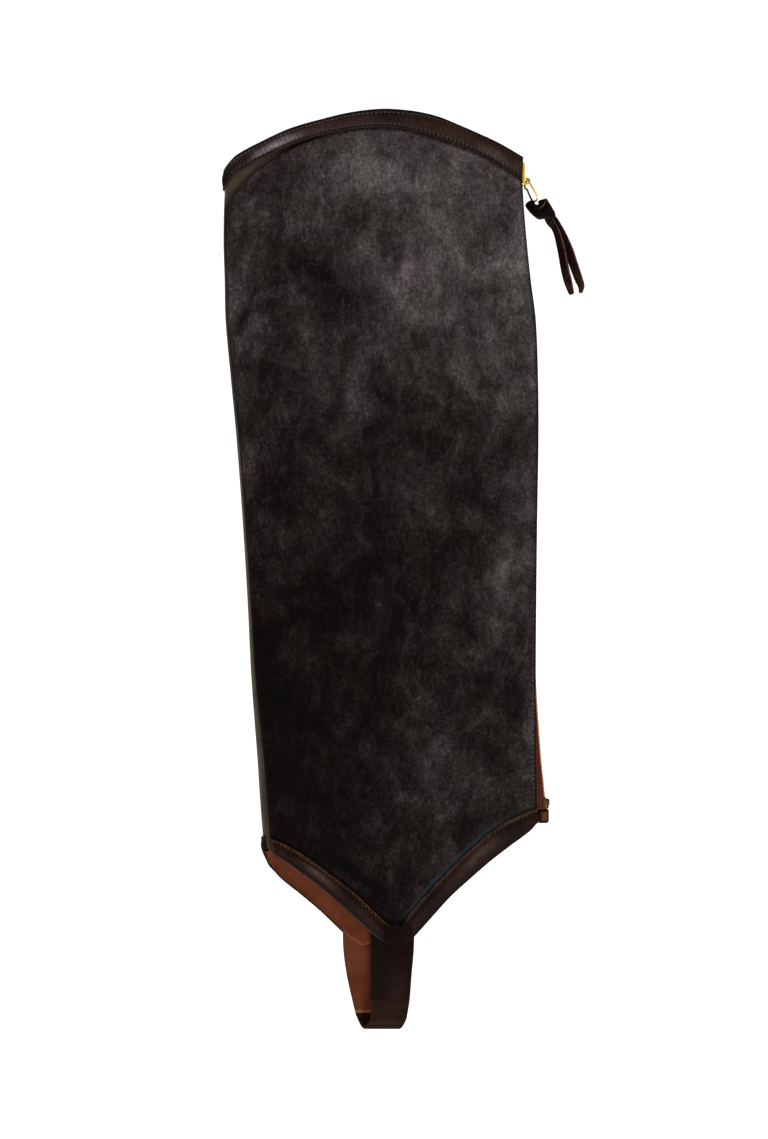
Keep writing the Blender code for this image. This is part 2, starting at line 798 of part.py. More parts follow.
def make_strap():
    ys = [-186, -193, -200, -207, -214, -221, -229, SOLE_NEAR_Y + GAP]
    loft("strap_near", strand_loops(STRAP_NEAR, near_strand, -STRAP, 0, ys), glossy_brown)
    ys = [SOLE_FAR_Y + GAP, -239, -233, -228, -224, -220, -216, -212, -208, -203, -196, -190]
    loft("strap_far", strand_loops(STRAP_FAR, far_strand, 0, STRAP, ys), rust_leather)

    ys = [SOLE_NEAR_Y, -241.5, STRAP_BEND_Y]
    sole = strand_loops(STRAP_NEAR, near_strand, -STRAP, 0, ys)
    radius = near_strand(STRAP_MIDDLE_X, STRAP_BEND_Y) / 2
    start, stop = strap_edges(STRAP_NEAR, STRAP_BEND_Y), strap_edges(STRAP_FAR, STRAP_BEND_Y)
    flat = sole[-1]
    for i in range(1, BEND_STEPS + 1):
        share = i / BEND_STEPS
        angle = math.pi * share
        left, right = (a + (b - a) * share for a, b in zip(start, stop))
        scale = (right - left) / (start[1] - start[0])
        sole.append(
            [
                (
                    left + (x - start[0]) * scale,
                    STRAP_BEND_Y - (z - radius) * math.sin(angle),
                    radius + (z - radius) * math.cos(angle),
                )
                for x, _, z in flat
            ]
        )
    shift = strap_edges(STRAP_FAR, SOLE_FAR_Y)[0] - stop[0]
    sole.append([(x + shift, SOLE_FAR_Y, z) for x, _, z in sole[-1]])
    loft("strap_sole", sole, glossy_brown)


# ---- the zip ----
def teeth_x(y):
    """The middle of the teeth, across their thickness."""
    return section("teeth", y) - TEETH_THICK / 2


def chamfered(wide, high, chamfer):
    """The eight corners of a chamfered rectangle about its middle."""
    a, b, c = wide / 2, high / 2, chamfer
    return (
        (a, b - c), (a - c, b), (c - a, b), (-a, b - c),
        (-a, c - b), (c - a, -b), (a - c, -b), (a, c - b),
    )  # fmt: skip


def bar_loop(y, x, z, thick, high, chamfer=BAR_CHAMFER):
    return [(x + dx, y, z + dz) for dx, dz in chamfered(thick, high, chamfer)]


def ys_between(low, high, step):
    return [low, *grid_lines(low, high, step), high]


def tape_path(y, near):
    """The tape's middle line at y, in (x, z), from under its panel to the edge of the teeth."""
    bend_x, bend_z = TAPE_BEND
    bend_from, z_teeth = teeth_x(y) - bend_x, section("teeth_z", y)
    side = 1 if near else -1
    if near:
        edge = section("zip_edge", y)
        level = near_z(edge, y) - TAPE / 2
        path = [(edge - d, near_z(edge - d, y) - TAPE / 2) for d in TAPE_UNDER_NEAR]
    else:
        edge = far_edge_x(y)
        level = max(TAPE, z_teeth - TAPE_DROP)
        path = [(edge - d, far_z(edge - d, y) + TAPE / 2) for d in TAPE_UNDER_FAR]
        path.append((edge + 2.5, level))
    for degrees in (0, 30, 60, 90):
        turn = math.radians(degrees)
        drop = side * bend_z * (1 - math.cos(turn))
        path.append((bend_from + bend_x * math.sin(turn), level - drop))
    path.append((teeth_x(y), z_teeth + side * (TEETH_HIGH / 2 + GAP)))
    return path


def wall_loop(path, y, thickness):
    """The path thickened to both sides, as a loop at y."""
    sides = ([], [])
    for i, (x, z) in enumerate(path):
        (ax, az), (bx, bz) = path[max(i - 1, 0)], path[min(i + 1, len(path) - 1)]
        length = math.hypot(bx - ax, bz - az)
        nx, nz = -(bz - az) / length, (bx - ax) / length
        for side, sign in zip(sides, (1, -1)):
            offset = sign * thickness / 2
            side.append((x + nx * offset, y, z + nz * offset))
    return sides[0] + sides[1][::-1]


def make_zip():
    step = 14
    for name, near in (("zip_tape_near", True), ("zip_tape_far", False)):
        ys = ys_between(TAPE_LOW_Y, TAPE_HIGH_Y, step)
        loft(name, [wall_loop(tape_path(y, near), y, TAPE) for y in ys], tape_cloth)
    chain = [
        bar_loop(y, teeth_x(y), section("teeth_z", y), TEETH_THICK, TEETH_HIGH)
        for y in ys_between(CHAIN_LOW_Y, CHAIN_HIGH_Y, step)
    ]
    loft("zip_chain", chain, brass)
    pin = [
        bar_loop(y, teeth_x(y), section("teeth_z", y), PIN_THICK, PIN_HIGH)
        for y in (BOX_Y[1] + GAP, CHAIN_LOW_Y - GAP)
    ]
    loft("zip_pin", pin, brass)
    low, high = BOX_Y
    box = [
        bar_loop(y, teeth_x(low), section("teeth_z", low), BOX_THICK - cut, BOX_HIGH - cut, 0.6)
        for y, cut in ((low, 0.8), (low + 0.6, 0), (high - 0.6, 0), (high, 0.8))
    ]
    loft("zip_box", box, brass)


def as_cutter(piece):
    """Keep a piece out of the part."""
    cutters.objects.link(piece)
    piece.hide_render = True
    piece.display_type = "WIRE"
    return piece


def box_cutter(name, low, high):
    """A box between two corners in millimetres."""
    bpy.ops.mesh.primitive_cube_add(size=1)
    cutter = bpy.context.object
    cutter.name = name
    for vert in cutter.data.vertices:
        vert.co = metres([a + (b - a) * (c + 0.5) for a, b, c in zip(low, high, vert.co)])
    for collection in cutter.users_collection:
        collection.objects.unlink(cutter)
    return as_cutter(cutter)


def cut_away(piece, cutter, operation="DIFFERENCE"):
    boolean = piece.modifiers.new(cutter.name, "BOOLEAN")
    boolean.operation = operation
    boolean.object = cutter


def hinge_point():
    y = HINGE_Y
    face = teeth_x(y) + TEETH_THICK / 2 + GAP + SLIDER_WALL
    return Vector((face + HINGE_OUT, y, section("teeth_z", y)))


def make_slider():
    """Two plates joined by a post at the top, open for the teeth and slotted for the tapes."""
    low, high = SLIDER_Y
    x, z = teeth_x(HINGE_Y), section("teeth_z", HINGE_Y)
    room_x, room_z = TEETH_THICK / 2 + GAP, TEETH_HIGH / 2 + GAP
    half_x, half_z = room_x + SLIDER_WALL, room_z + SLIDER_WALL
    ends = ((low, 1), (low + SLIDER_CHAMFER, 0), (high - SLIDER_CHAMFER, 0), (high, 1))
    body = [
        bar_loop(y, x, z, 2 * half_x - cut * 0.8, 2 * half_z - cut * 0.8, 0.7) for y, cut in ends
    ]
    slider = loft("zip_slider", body, gold)
    past = 5
    channel = box_cutter(
        "slider_channel",
        (x - room_x, low - past, z - room_z),
        (x + room_x, CHAIN_HIGH_Y + GAP, z + room_z),
    )
    cut_away(slider, channel)
    for name, side in (("slider_slot_high", 1), ("slider_slot_low", -1)):
        z_low, z_high = sorted((z + side * (room_z - 0.4), z + side * (half_z + past)))
        slot = box_cutter(
            name,
            (x - SLIDER_SLOT / 2, low - past, z_low),
            (x + SLIDER_SLOT / 2, high + past, z_high),
        )
        cut_away(slider, slot)
    cut_away(slider, make_bridge(hinge_point(), x + half_x), "UNION")


def make_bridge(hinge, face):
    """The slider's bridge: an arch in the XY plane, which the ring passes through."""
    reach = BRIDGE_HOLE + BRIDGE_WALL / 2
    foot = face - BRIDGE_FOOT - hinge.x
    turns = [math.pi * (i / 10 - 0.5) for i in range(11)]
    arch = [(foot, -reach), *[(reach * math.cos(a), reach * math.sin(a)) for a in turns], (foot, reach)]
    path = [hinge + Vector((x, y, 0)) for x, y in arch]
    u, v = BRIDGE_WALL / 2, BRIDGE_HIGH / 2
    corners = [(u, v), (-u, v), (-u, -v), (u, -v)]
    bridge = loft("slider_bridge", sweep(path, Vector((0, 0, 1)), corners), gold)
    gaiter.objects.unlink(bridge)
    return as_cutter(bridge)


# ---- the pull ----
def make_pull():
    hinge = hinge_point()
    axle = bpy.data.objects.new("pull_axle", None)
    axle.location = metres(hinge)
    gaiter.objects.link(axle)
    bpy.context.view_layer.update()
    to_axle = axle.matrix_world.inverted()
    tails = [make_tail("pull_tail_left", TAIL_LEFT), make_tail("pull_tail_right", TAIL_RIGHT)]
    for piece in (make_ring(hinge), make_knot(), *tails):
        piece.data.transform(to_axle)
        piece.parent = axle


def make_ring(hinge):
    """A closed rectangle of round wire through the bridge, its corners cut by short turns."""
    ahead = Vector((math.sin(PULL_ANGLE), -math.cos(PULL_ANGLE), 0))
    up = Vector((0, 0, 1))
    half, far = up * RING_HIGH / 2, hinge + ahead * RING_LENGTH
    corners = [hinge - half, hinge + half, far + half, far - half]
    path = []
    for i, corner in enumerate(corners):
        for other in (corners[i - 1], corners[(i + 1) % 4]):
            path.append(corner + (other - corner).normalized() * RING_CORNER)
    turns = [math.tau * (k + 0.5) / 8 for k in range(8)]
    section_corners = [(math.cos(a) * WIRE / 2, math.sin(a) * WIRE / 2) for a in turns]
    loops = sweep(path, ahead.cross(up), section_corners, closed=True)
    return loft("pull_ring", loops, gold, closed=True)


def make_knot():
    """The thong's knot, with the notch that the ring's end lies in, rounded above and below."""
    outline = list(zip(KNOT_OUTLINE["x"], KNOT_OUTLINE["y"]))
    middle_x, middle_y = (sum(values) / len(outline) for values in zip(*outline))
    loops = []
    for z, size in zip(KNOT_LAYERS["z"], KNOT_LAYERS["size"]):
        loop = []
        for k, (x, y) in enumerate(outline):
            share = 1.0 if k in KNOT_NOTCH else size
            loop.append((middle_x + (x - middle_x) * share, middle_y + (y - middle_y) * share, z))
        loops.append(loop)
    return loft("pull_knot", loops, glossy_brown)


def make_tail(name, rows):
    """A flat thong laid along its rows, each one turned about its own length by its tilt."""
    loops = []
    points = [Vector(row) for row in zip(rows["x"], rows["y"], rows["z"])]
    for i, point in enumerate(points):
        ahead = (points[min(i + 1, len(points) - 1)] - points[max(i - 1, 0)]).normalized()
        across = ahead.cross(Vector((0, 0, 1))).normalized()
        lift = across.cross(ahead)
        tilt = math.radians(rows["tilt"][i])
        wide = across * math.cos(tilt) + lift * math.sin(tilt)
        thick = lift * math.cos(tilt) - across * math.sin(tilt)
        corners = chamfered(rows["width"][i], TAIL_THICK, TAIL_CHAMFER)
        loops.append([point + wide * u + thick * t for u, t in corners])
    return loft(name, loops, glossy_brown)


# ---- build ----
for old in list(bpy.data.objects):
    bpy.data.objects.remove(old, do_unlink=True)

gaiter = bpy.data.collections.new("gaiter")
cutters = bpy.data.collections.new("cutters")
for collection in (gaiter, cutters):
    bpy.context.scene.collection.children.link(collection)

suede = leather("charcoal_suede", (0.045, 0.04, 0.042), 0.9)
smooth_leather = leather("olive_leather", (0.06, 0.055, 0.045), 0.5)
glossy_brown = leather("dark_brown_leather", (0.028, 0.014, 0.011), 0.3)
rust_leather = leather("rust_leather", (0.16, 0.035, 0.012), 0.45)
tape_cloth = leather("zip_tape", (0.06, 0.018, 0.014), 0.8)
brass = leather("antique_brass", (0.3, 0.16, 0.05), 0.4, 1.0)
gold = leather("gold_plate", (0.8, 0.6, 0.2), 0.25, 1.0)

make_near_panel()
make_far_panel()
make_front_strip()
make_top_binding()
make_hem_bindings()
make_hem_facing()
make_hem_patch()
make_strap()
make_zip()
make_slider()
make_pull()
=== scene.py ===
import math

import bmesh
import bpy
import numpy as np
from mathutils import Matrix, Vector


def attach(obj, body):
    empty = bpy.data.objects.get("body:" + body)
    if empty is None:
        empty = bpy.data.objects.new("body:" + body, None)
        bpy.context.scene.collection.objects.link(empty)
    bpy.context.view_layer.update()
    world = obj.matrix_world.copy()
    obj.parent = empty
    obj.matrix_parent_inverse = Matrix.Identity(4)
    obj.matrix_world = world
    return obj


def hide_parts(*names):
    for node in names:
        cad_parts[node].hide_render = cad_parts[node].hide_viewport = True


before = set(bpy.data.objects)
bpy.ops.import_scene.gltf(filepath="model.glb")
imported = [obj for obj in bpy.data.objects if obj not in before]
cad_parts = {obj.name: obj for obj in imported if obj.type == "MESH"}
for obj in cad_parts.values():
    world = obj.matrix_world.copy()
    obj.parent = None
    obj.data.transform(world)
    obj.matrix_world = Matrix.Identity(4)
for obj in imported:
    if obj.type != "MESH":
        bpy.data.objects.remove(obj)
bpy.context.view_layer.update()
print("frame loaded")

mm = 0.001  # every size below is in millimetres

# camera: straight above the gaiter, as in the photo
cameraView = {"x": -10.3, "y": 0.55, "height": 1800.0, "frameTall": 626.5, "focusZ": 14.0}

cameraData = bpy.data.cameras.new("camera")
halfTall = cameraView["frameTall"] / 2
cameraData.lens = cameraData.sensor_width / 2 * (cameraView["height"] - cameraView["focusZ"]) / halfTall
cameraData.clip_end = 50
camera = bpy.data.objects.new("camera", cameraData)
camera.location = (cameraView["x"] * mm, cameraView["y"] * mm, cameraView["height"] * mm)
bpy.context.scene.collection.objects.link(camera)
bpy.context.scene.camera = camera

# soft studio light: low lamps shape the nap, and a long strip overhead draws the leather's sheen
studio = {
    "ceiling": 0.02, "surround": 0.3, "surroundTop": 0.3, "ceilingFrom": 0.85, "floorGlow": 0.97,
    "backdrop": 1.0,
    "lamps": (  # name, place, aimed at, width, height, watts
        ("key", (250, -2050, 1420), (0, 0, 0), 700, 700, 54),
        ("upLeft", (-1500, 1400, 1300), (0, 50, 0), 1300, 1300, 28),
        ("farRight", (1500, 300, 900), (0, 50, 0), 600, 1100, 10),
        ("sheen", (60, -640, 1700), (0, 0, 0), 900, 300, 5),
    ),
}


def placeLamp(name, spot, target, width, height, watts):
    lamp = bpy.data.lights.new(name, "AREA")
    lamp.shape, lamp.size, lamp.size_y, lamp.energy = "RECTANGLE", width * mm, height * mm, watts
    holder = bpy.data.objects.new(name, lamp)
    holder.location = Vector(spot) * mm
    holder.rotation_euler = (Vector(target) - Vector(spot)).to_track_quat("-Z", "Y").to_euler()
    bpy.context.scene.collection.objects.link(holder)


def makeStudio():
    world = bpy.data.worlds.new("studio")
    bpy.context.scene.world = world
    world.use_nodes = True
    tree = world.node_tree
    background = tree.nodes["Background"]
    background.inputs["Color"].default_value = (1, 1, 1, 1)
    coordinates = tree.nodes.new("ShaderNodeTexCoord")
    split = tree.nodes.new("ShaderNodeSeparateXYZ")
    blend = tree.nodes.new("ShaderNodeMapRange")
    blend.interpolation_type = "SMOOTHSTEP"
    blend.inputs["From Min"].default_value = studio["surroundTop"]
    blend.inputs["From Max"].default_value = studio["ceilingFrom"]
    blend.inputs["To Min"].default_value = studio["surround"]
    blend.inputs["To Max"].default_value = studio["ceiling"]
    tree.links.new(coordinates.outputs["Generated"], split.inputs[0])
    tree.links.new(split.outputs["Z"], blend.inputs["Value"])
    seen = tree.nodes.new("ShaderNodeLightPath")  # the backdrop itself is white, as in the photo
    strength = tree.nodes.new("ShaderNodeMix")
    strength.inputs["B"].default_value = studio["backdrop"]
    tree.links.new(seen.outputs["Is Camera Ray"], strength.inputs["Factor"])
    tree.links.new(blend.outputs["Result"], strength.inputs["A"])
    tree.links.new(strength.outputs["Result"], background.inputs["Strength"])
    for lamp in studio["lamps"]:
        placeLamp(*lamp)
    bpy.context.scene.view_settings.view_transform = "Standard"


makeStudio()
print("camera and light set")

# the folded tube: same sizes as the solids
gap = 0.3
panelWall, stripWall, bindingWall, tapeWall, strapWall = 1.8, 1.5, 1.2, 1.0, 1.8
panelOut = gap + panelWall
foldRadius = 5.0
foldArc = foldRadius * math.pi / 2
endLiftHeight = gap + bindingWall
sag = 1.5
farSetback = 7.0
farEdgeP, stripFarP, stripNearMargin, stripLap, stripArmX = -4.5, -7.0, 2.5, 5.0, -38.0
underBindingX = -31.0
farBindingTop, farBindingHem, farBindingFold = 10.0, 13.5, 9.0
innerLeg = 8.0


def table(columns, *rows):
    return {name: np.array([float(row[i]) for row in rows]) for i, name in enumerate(columns.split())}


sections = table(
    "y fold seam zipEdge teeth teethZ edgeZ",
    (-152, -76.6, 7.1, 74.0, 79.6, 7.7, 12.5),
    (-128, -78.6, 7.1, 73.6, 78.8, 7.5, 12.3),
    (-104, -80.2, 6.9, 73.3, 76.6, 6.5, 11.3),
    (-60, -83.5, 5.9, 73.3, 73.7, 5.7, 10.5),
    (-16, -85.7, 5.4, 73.6, 73.1, 5.7, 10.5),
    (28, -88.4, 5.2, 74.1, 73.6, 5.7, 10.5),
    (72, -91.7, 5.1, 74.8, 74.3, 5.7, 10.5),
    (105, -94.8, 5.0, 74.6, 74.1, 5.7, 10.5),
    (138, -97.8, 4.9, 73.3, 72.8, 5.9, 10.8),
    (160, -98.3, 4.8, 70.5, 70.2, 6.3, 11.3),
    (182, -98.9, 4.6, 68.2, 67.9, 6.9, 12.1),
    (205, -98.4, 4.4, 66.3, 66.4, 7.6, 13.1),
    (230, -97.4, 4.4, 65.4, 66.2, 7.8, 13.5),
)
topNear = table(
    "x edge binding",
    (-98, 222.5, 209), (-93, 227.5, 217.2), (-87, 231.4, 221.2), (-78.5, 235.8, 226.3),
    (-67.5, 241, 231.6), (-56.5, 244.9, 235.8), (-45.5, 247.9, 238.9), (-34.5, 250.7, 241.5),
    (-23.5, 252.7, 243), (-11.4, 253.8, 243.6), (-1.5, 253.4, 242.9), (9.5, 252, 240.6),
    (20.5, 249.2, 237.3), (31.5, 244.7, 233.2), (42.5, 239.9, 228.6), (53.5, 234.7, 222.8),
    (66.4, 227.2, 214.2),
)
suedeTop = table(
    "x y",
    (-98, 199.5), (-95, 204), (-89.5, 210.3), (-84, 216), (-78.5, 221), (-67.5, 228.4),
    (-56.5, 234.2), (-47, 238.2), (-38, 244), (underBindingX, 250),
)
topFar = table("x edge", (-95, 218.5), (-60, 211), (-20, 208.5), (15, 213.5), (42, 224.6), (60, 228))
hemNear = table(
    "x edge binding",
    (-78, -151.8, -144.2), (-73, -154.6, -146.9), (-67.5, -158.1, -149), (-56.5, -165.8, -155),
    (-45.5, -174.1, -162.7), (-34.5, -183.4, -170.9), (-23.5, -193.3, -179.8), (-13.6, -202, -189.3),
    (-8, -205.4, -194.2), (-3, -207, -197.6), (2, -205, -191), (6.2, -201.4, -185.6),
    (15, -191.7, -175.7), (26, -179.6, -164.2), (37, -169.5, -153.7), (48, -160, -144.6),
    (59, -151.5, -137.6), (70, -143.3, -132.6), (74, -138.9, -130.9),
)
hemFar = table(
    "x edge",
    (-76.5, -160.2), (-67.8, -170.1), (-56.8, -179), (-45.7, -188.4), (-34.7, -198.9), (-28, -204.8),
    (-22, -208), (-15, -204.6), (0, -192.5), (30, -171), (67, -144.5),
)
creases = table(  # soft troughs, and ridges where the depth is negative
    "x0 y0 x1 y1 depth width",
    (-45.5, -153, -12.5, -176, 0.9, 6),
    (12, -139, 31.5, -131, -0.5, 7),
    (-62, 176, -30, 150, 0.25, 9),
    (8, 96, 46, 74, 0.22, 11),
    (-50, 40, -18, 8, -0.25, 12),
    (20, -20, 60, -52, 0.25, 9),
    (-64, -70, -34, -98, 0.3, 8),
    (44, 150, 62, 120, 0.2, 7),
)


def along(rows, by, column, at):  # a smooth curve through a table's rows
    xs, ys = rows[by], rows[column]
    if xs[0] > xs[-1]:
        xs, ys = xs[::-1], ys[::-1]
    at = np.clip(at, xs[0], xs[-1])
    b = np.clip(np.searchsorted(xs, at, side="right") - 1, 0, len(xs) - 2)
    a, c, d = np.maximum(b - 1, 0), b + 1, np.minimum(b + 2, len(xs) - 1)
    step, rise = xs[c] - xs[b], ys[c] - ys[b]
    t = (at - xs[b]) / step
    slopeIn = (ys[c] - ys[a]) / (xs[c] - xs[a])
    slopeOut = (ys[d] - ys[b]) / (xs[d] - xs[b])
    bow = (slopeIn * step - rise) * (1 - t) + (rise - slopeOut * step) * t
    return ys[b] + rise * t + t * (1 - t) * bow


def smooth(low, high, value):
    t = np.clip((value - low) / (high - low), 0, 1)
    return t * t * (3 - 2 * t)


def section(column, y):
    return along(sections, "y", column, y)


def foldCentre(y):
    return section("fold", y) + foldRadius


def farEdgeX(y):
    return section("zipEdge", y) - farSetback


def endLift(x, y):
    top = 1 - smooth(farBindingTop + 1, 45, along(topFar, "x", "edge", x) - y)
    hem = 1 - smooth(farBindingHem + 2, 50, y - along(hemFar, "x", "edge", x))
    return np.maximum(top, hem)


def farZ(x, y):
    return panelOut + endLiftHeight * endLift(x, y)


def alongCrease(x, y, x0, y0, x1, y1):  # the share of its length passed, and the distance from it
    t = ((x - x0) * (x1 - x0) + (y - y0) * (y1 - y0)) / math.hypot(x1 - x0, y1 - y0) ** 2
    return t, np.hypot(x - x0 - t * (x1 - x0), y - y0 - t * (y1 - y0))


def nearZ(x, y):
    left, right = foldCentre(y), section("zipEdge", y)
    s = np.clip((x - left) / (right - left), 0, 1)
    fold = farZ(left, y) + 2 * foldRadius
    z = fold + (section("edgeZ", y) - fold) * smooth(0.35, 1, s)
    z = z - sag * (1 - endLift(left, y)) * np.sin(np.pi * s) ** 2
    for *ends, depth, width in zip(*creases.values()):
        t, off = alongCrease(x, y, *ends)
        z = z - depth * smooth(-0.25, 0.25, t) * (1 - smooth(0.75, 1.25, t)) * np.exp(-((off / width) ** 2))
    return z


def middle(p, y):  # p runs round the tube from the front fold, + over the upper side
    centre = foldCentre(y)
    turn = np.clip(p / foldRadius, -math.pi / 2, math.pi / 2)
    onFold = np.abs(p) <= foldArc
    x = np.where(onFold, centre - foldRadius * np.cos(turn), centre + np.abs(p) - foldArc)
    foldZ = farZ(centre, y) + foldRadius * (1 + np.sin(turn))
    z = np.where(onFold, foldZ, np.where(p > 0, nearZ(x, y), farZ(x, y)))
    return np.stack(np.broadcast_arrays(x, y, z), -1)


def facing(p, y):  # outward direction of the tube there
    step = 0.2
    across = middle(p + step, y) - middle(p - step, y)
    up = middle(p, y + step) - middle(p, y - step)
    out = np.cross(across, up)
    return out / np.linalg.norm(out, axis=-1, keepdims=True)


def place(p, y, w):
    p, y, w = np.broadcast_arrays(p, y, w)
    return middle(p, y) + facing(p, y) * w[..., None]


def xOf(p, y):
    return foldCentre(y) + np.maximum(np.abs(p) - foldArc, 0)


def pOf(x, y, side):
    return side * (foldArc + x - foldCentre(y))


def roundFold(nearRows, farRows, p, y):  # an edge eased round the fold from its far rows to its near ones
    p = np.asarray(p, float)
    x = middle(p, y)[..., 0]
    share = np.where(p >= foldArc, 1, smooth(-foldArc, foldArc, p))
    near, far = along(nearRows, "x", "edge", x), along(farRows, "x", "edge", x)
    return far + (near - far) * share


def topEdge(p, y=222.0):
    return roundFold(topNear, topFar, p, y)


def hemEdge(p, y=-157.0):
    return roundFold(hemNear, hemFar, p, y)


def settle(edge, x, side, guess):  # p and y where columns at x meet an edge
    y = np.full_like(np.asarray(x, float), guess)
    for turn in range(8):
        p = pOf(x, y, side)
        y = edge(p, y)
    return p, y


# mesh makers
def buildMesh(name, points, faces, material, slot=None, body="gaiter", marks=None, sharp=45):
    mesh = bpy.data.meshes.new(name)
    mesh.from_pydata((np.asarray(points).reshape(-1, 3) * mm).tolist(), [], faces)
    for title, values in (marks or {}).items():
        layer = mesh.attributes.new(title, "FLOAT", "POINT")
        layer.data.foreach_set("value", np.ascontiguousarray(values, np.float32).ravel())
    sheet = bmesh.new()
    sheet.from_mesh(mesh)
    bmesh.ops.recalc_face_normals(sheet, faces=sheet.faces)
    sheet.to_mesh(mesh)
    sheet.free()
    mesh.shade_smooth()
    mesh.set_sharp_from_angle(angle=math.radians(sharp))
    mesh.materials.append(material)
    piece = bpy.data.objects.new(name, mesh)
    bpy.context.scene.collection.objects.link(piece)
    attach(piece, body)
    return piece


def loftFaces(count, around, closedRing=False, cap="flat"):
    index = np.arange(count * around).reshape(count, around)
    following = np.roll(index, -1, axis=1)
    ahead = np.roll(index, -1, axis=0) if closedRing else index[1:]
    here, hereNext = (index, following) if closedRing else (index[:-1], following[:-1])
    aheadNext = np.roll(ahead, -1, axis=1)
    faces = np.stack([here, hereNext, aheadNext, ahead], -1).reshape(-1, 4).tolist()
    if closedRing:
        return faces
    for ring in (index[0], index[-1]):
        if cap == "strip":  # a wall's edge: outer points on one half, inner ones back on the other
            half = around // 2
            for k in range(half - 1):
                faces.append([ring[k], ring[k + 1], ring[around - 2 - k], ring[around - 1 - k]])
        else:
            faces.append(ring.tolist())
    return [[int(v) for v in face] for face in faces]


def loft(name, loops, material, cap="flat", closedRing=False, **options):
    loops = np.asarray(loops, float)
    faces = loftFaces(loops.shape[0], loops.shape[1], closedRing, cap)
    return buildMesh(name, loops, faces, material, **options)


def stations(length, step, tight=(0, 0.12, 0.35, 0.7, 1.2)):  # close together at both ends
    tight = np.array(tight)
    inner = np.linspace(tight[-1], length - tight[-1], max(2, round((length - 2 * tight[-1]) / step)))
    return np.concatenate([tight[:-1], inner, length - tight[:-1][::-1]]) / length


def borderDistance(p, y):
    across = np.abs(np.diff(p, axis=1))
    down = np.abs(np.diff(y, axis=0))
    left = np.concatenate([np.zeros((p.shape[0], 1)), np.cumsum(across, 1)], 1)
    right = left[:, -1:] - left
    low = np.concatenate([np.zeros((1, p.shape[1])), np.cumsum(down, 0)], 0)
    high = low[-1:] - low
    return left, right, low, high


def sheetWall(name, p, y, outer, inner, material, ease=0.5, rawWidth=0.5, shades=None, **options):
    distance = np.minimum.reduce(borderDistance(p, y))
    roll = 1 - np.clip(distance / ease, 0, 1)
    drop = ease * (1 - np.sqrt(1 - roll**2))
    top = place(p, y, outer - drop)
    under = place(p, y, inner + drop * 0.7)
    loops = np.concatenate([top, under[:, ::-1]], 1)
    raw = np.exp(-((distance / rawWidth) ** 2))
    marks = {
        "rawEdge": np.concatenate([raw, raw[:, ::-1]], 1),
        "inside": np.concatenate([np.zeros_like(raw), np.ones_like(raw)], 1),
    }
    for title, shade in (shades or {}).items():
        marks[title] = np.concatenate([shade, np.zeros_like(shade)], 1)
    return loft(name, loops, material, cap="strip", marks=marks, **options)


# a wall of any outline, scored finely
def cutWall(name, outline, inner, outer, step, material, shades=None, **options):
    flat = bmesh.new()
    flat.faces.new([flat.verts.new((float(p), float(y), 0)) for p, y in outline])
    ps, ys = zip(*outline)
    cuts = [((p, 0, 0), (1, 0, 0)) for p in np.arange(min(ps) + step, max(ps) - 0.3, step)]
    cuts += [((0, y, 0), (0, 1, 0)) for y in np.arange(min(ys) + step, max(ys) - 0.3, step)]
    for point, normal in cuts:
        geometry = flat.verts[:] + flat.edges[:] + flat.faces[:]
        bmesh.ops.bisect_plane(flat, geom=geometry, dist=0.02, plane_co=point, plane_no=normal)
    bmesh.ops.triangulate(flat, faces=flat.faces)
    flat.verts.index_update()
    rimPairs = [tuple(v.index for v in e.verts) for e in flat.edges if e.is_boundary]
    p, y = np.array([v.co.x for v in flat.verts]), np.array([v.co.y for v in flat.verts])
    tris = [[v.index for v in f.verts] for f in flat.faces]
    flat.free()
    count = len(p)
    points = np.concatenate([place(p, y, outer(p, y)), place(p, y, inner(p, y))])
    faces = tris + [[v + count for v in tri] for tri in tris]
    faces += [[a, b, b + count, a + count] for a, b in rimPairs]
    raw = np.zeros(count)
    raw[list({v for pair in rimPairs for v in pair})] = 1
    marks = {"rawEdge": np.tile(raw, 2), "inside": np.repeat([0.0, 1.0], count)}
    for title, shade in (shades or {}).items():
        marks[title] = np.tile(shade(p, y), 2)
    return buildMesh(name, points, faces, material, marks=marks, **options)


# shader helpers
def newGroup(name, inputs, outputs):
    group = bpy.data.node_groups.new(name, "ShaderNodeTree")
    for title, value in inputs:
        socket = group.interface.new_socket(title, in_out="INPUT", socket_type="NodeSocketFloat")
        socket.default_value = value
    for title in outputs:
        group.interface.new_socket(title, in_out="OUTPUT", socket_type="NodeSocketFloat")
    return group, group.nodes.new("NodeGroupInput"), group.nodes.new("NodeGroupOutput")


def add(tree, kind, links=None, values=None, **settings):
    made = tree.nodes.new(kind)
    for key, value in settings.items():
        setattr(made, key, value)
    for key, value in (values or {}).items():
        made.inputs[key].default_value = value
    for key, source in (links or {}).items():
        tree.links.new(source, made.inputs[key])
    return made


def maths(tree, operation, a, b=None, c=None, clamp=False):
    made = tree.nodes.new("ShaderNodeMath")
    made.operation, made.use_clamp = operation, clamp
    for socket, value in zip(made.inputs, (a, b, c)):
        if isinstance(value, (int, float)):
            socket.default_value = value
        elif value is not None:
            tree.links.new(value, socket)
    return made.outputs[0]


def noise(tree, where, scale, detail=4.0, rough=0.55, distortion=0.0):
    values = {"Detail": detail, "Roughness": rough, "Distortion": distortion}
    links = {"Vector": where}
    if isinstance(scale, (int, float)):
        values["Scale"] = scale
    else:
        links["Scale"] = scale
    return add(tree, "ShaderNodeTexNoise", links, values).outputs[0]


def ramp(tree, value, low, high, to=(0.0, 1.0), soft=False):
    values = {"From Min": low, "From Max": high, "To Min": to[0], "To Max": to[1]}
    kind = "SMOOTHSTEP" if soft else "LINEAR"
    return add(tree, "ShaderNodeMapRange", {"Value": value}, values, interpolation_type=kind).outputs[0]


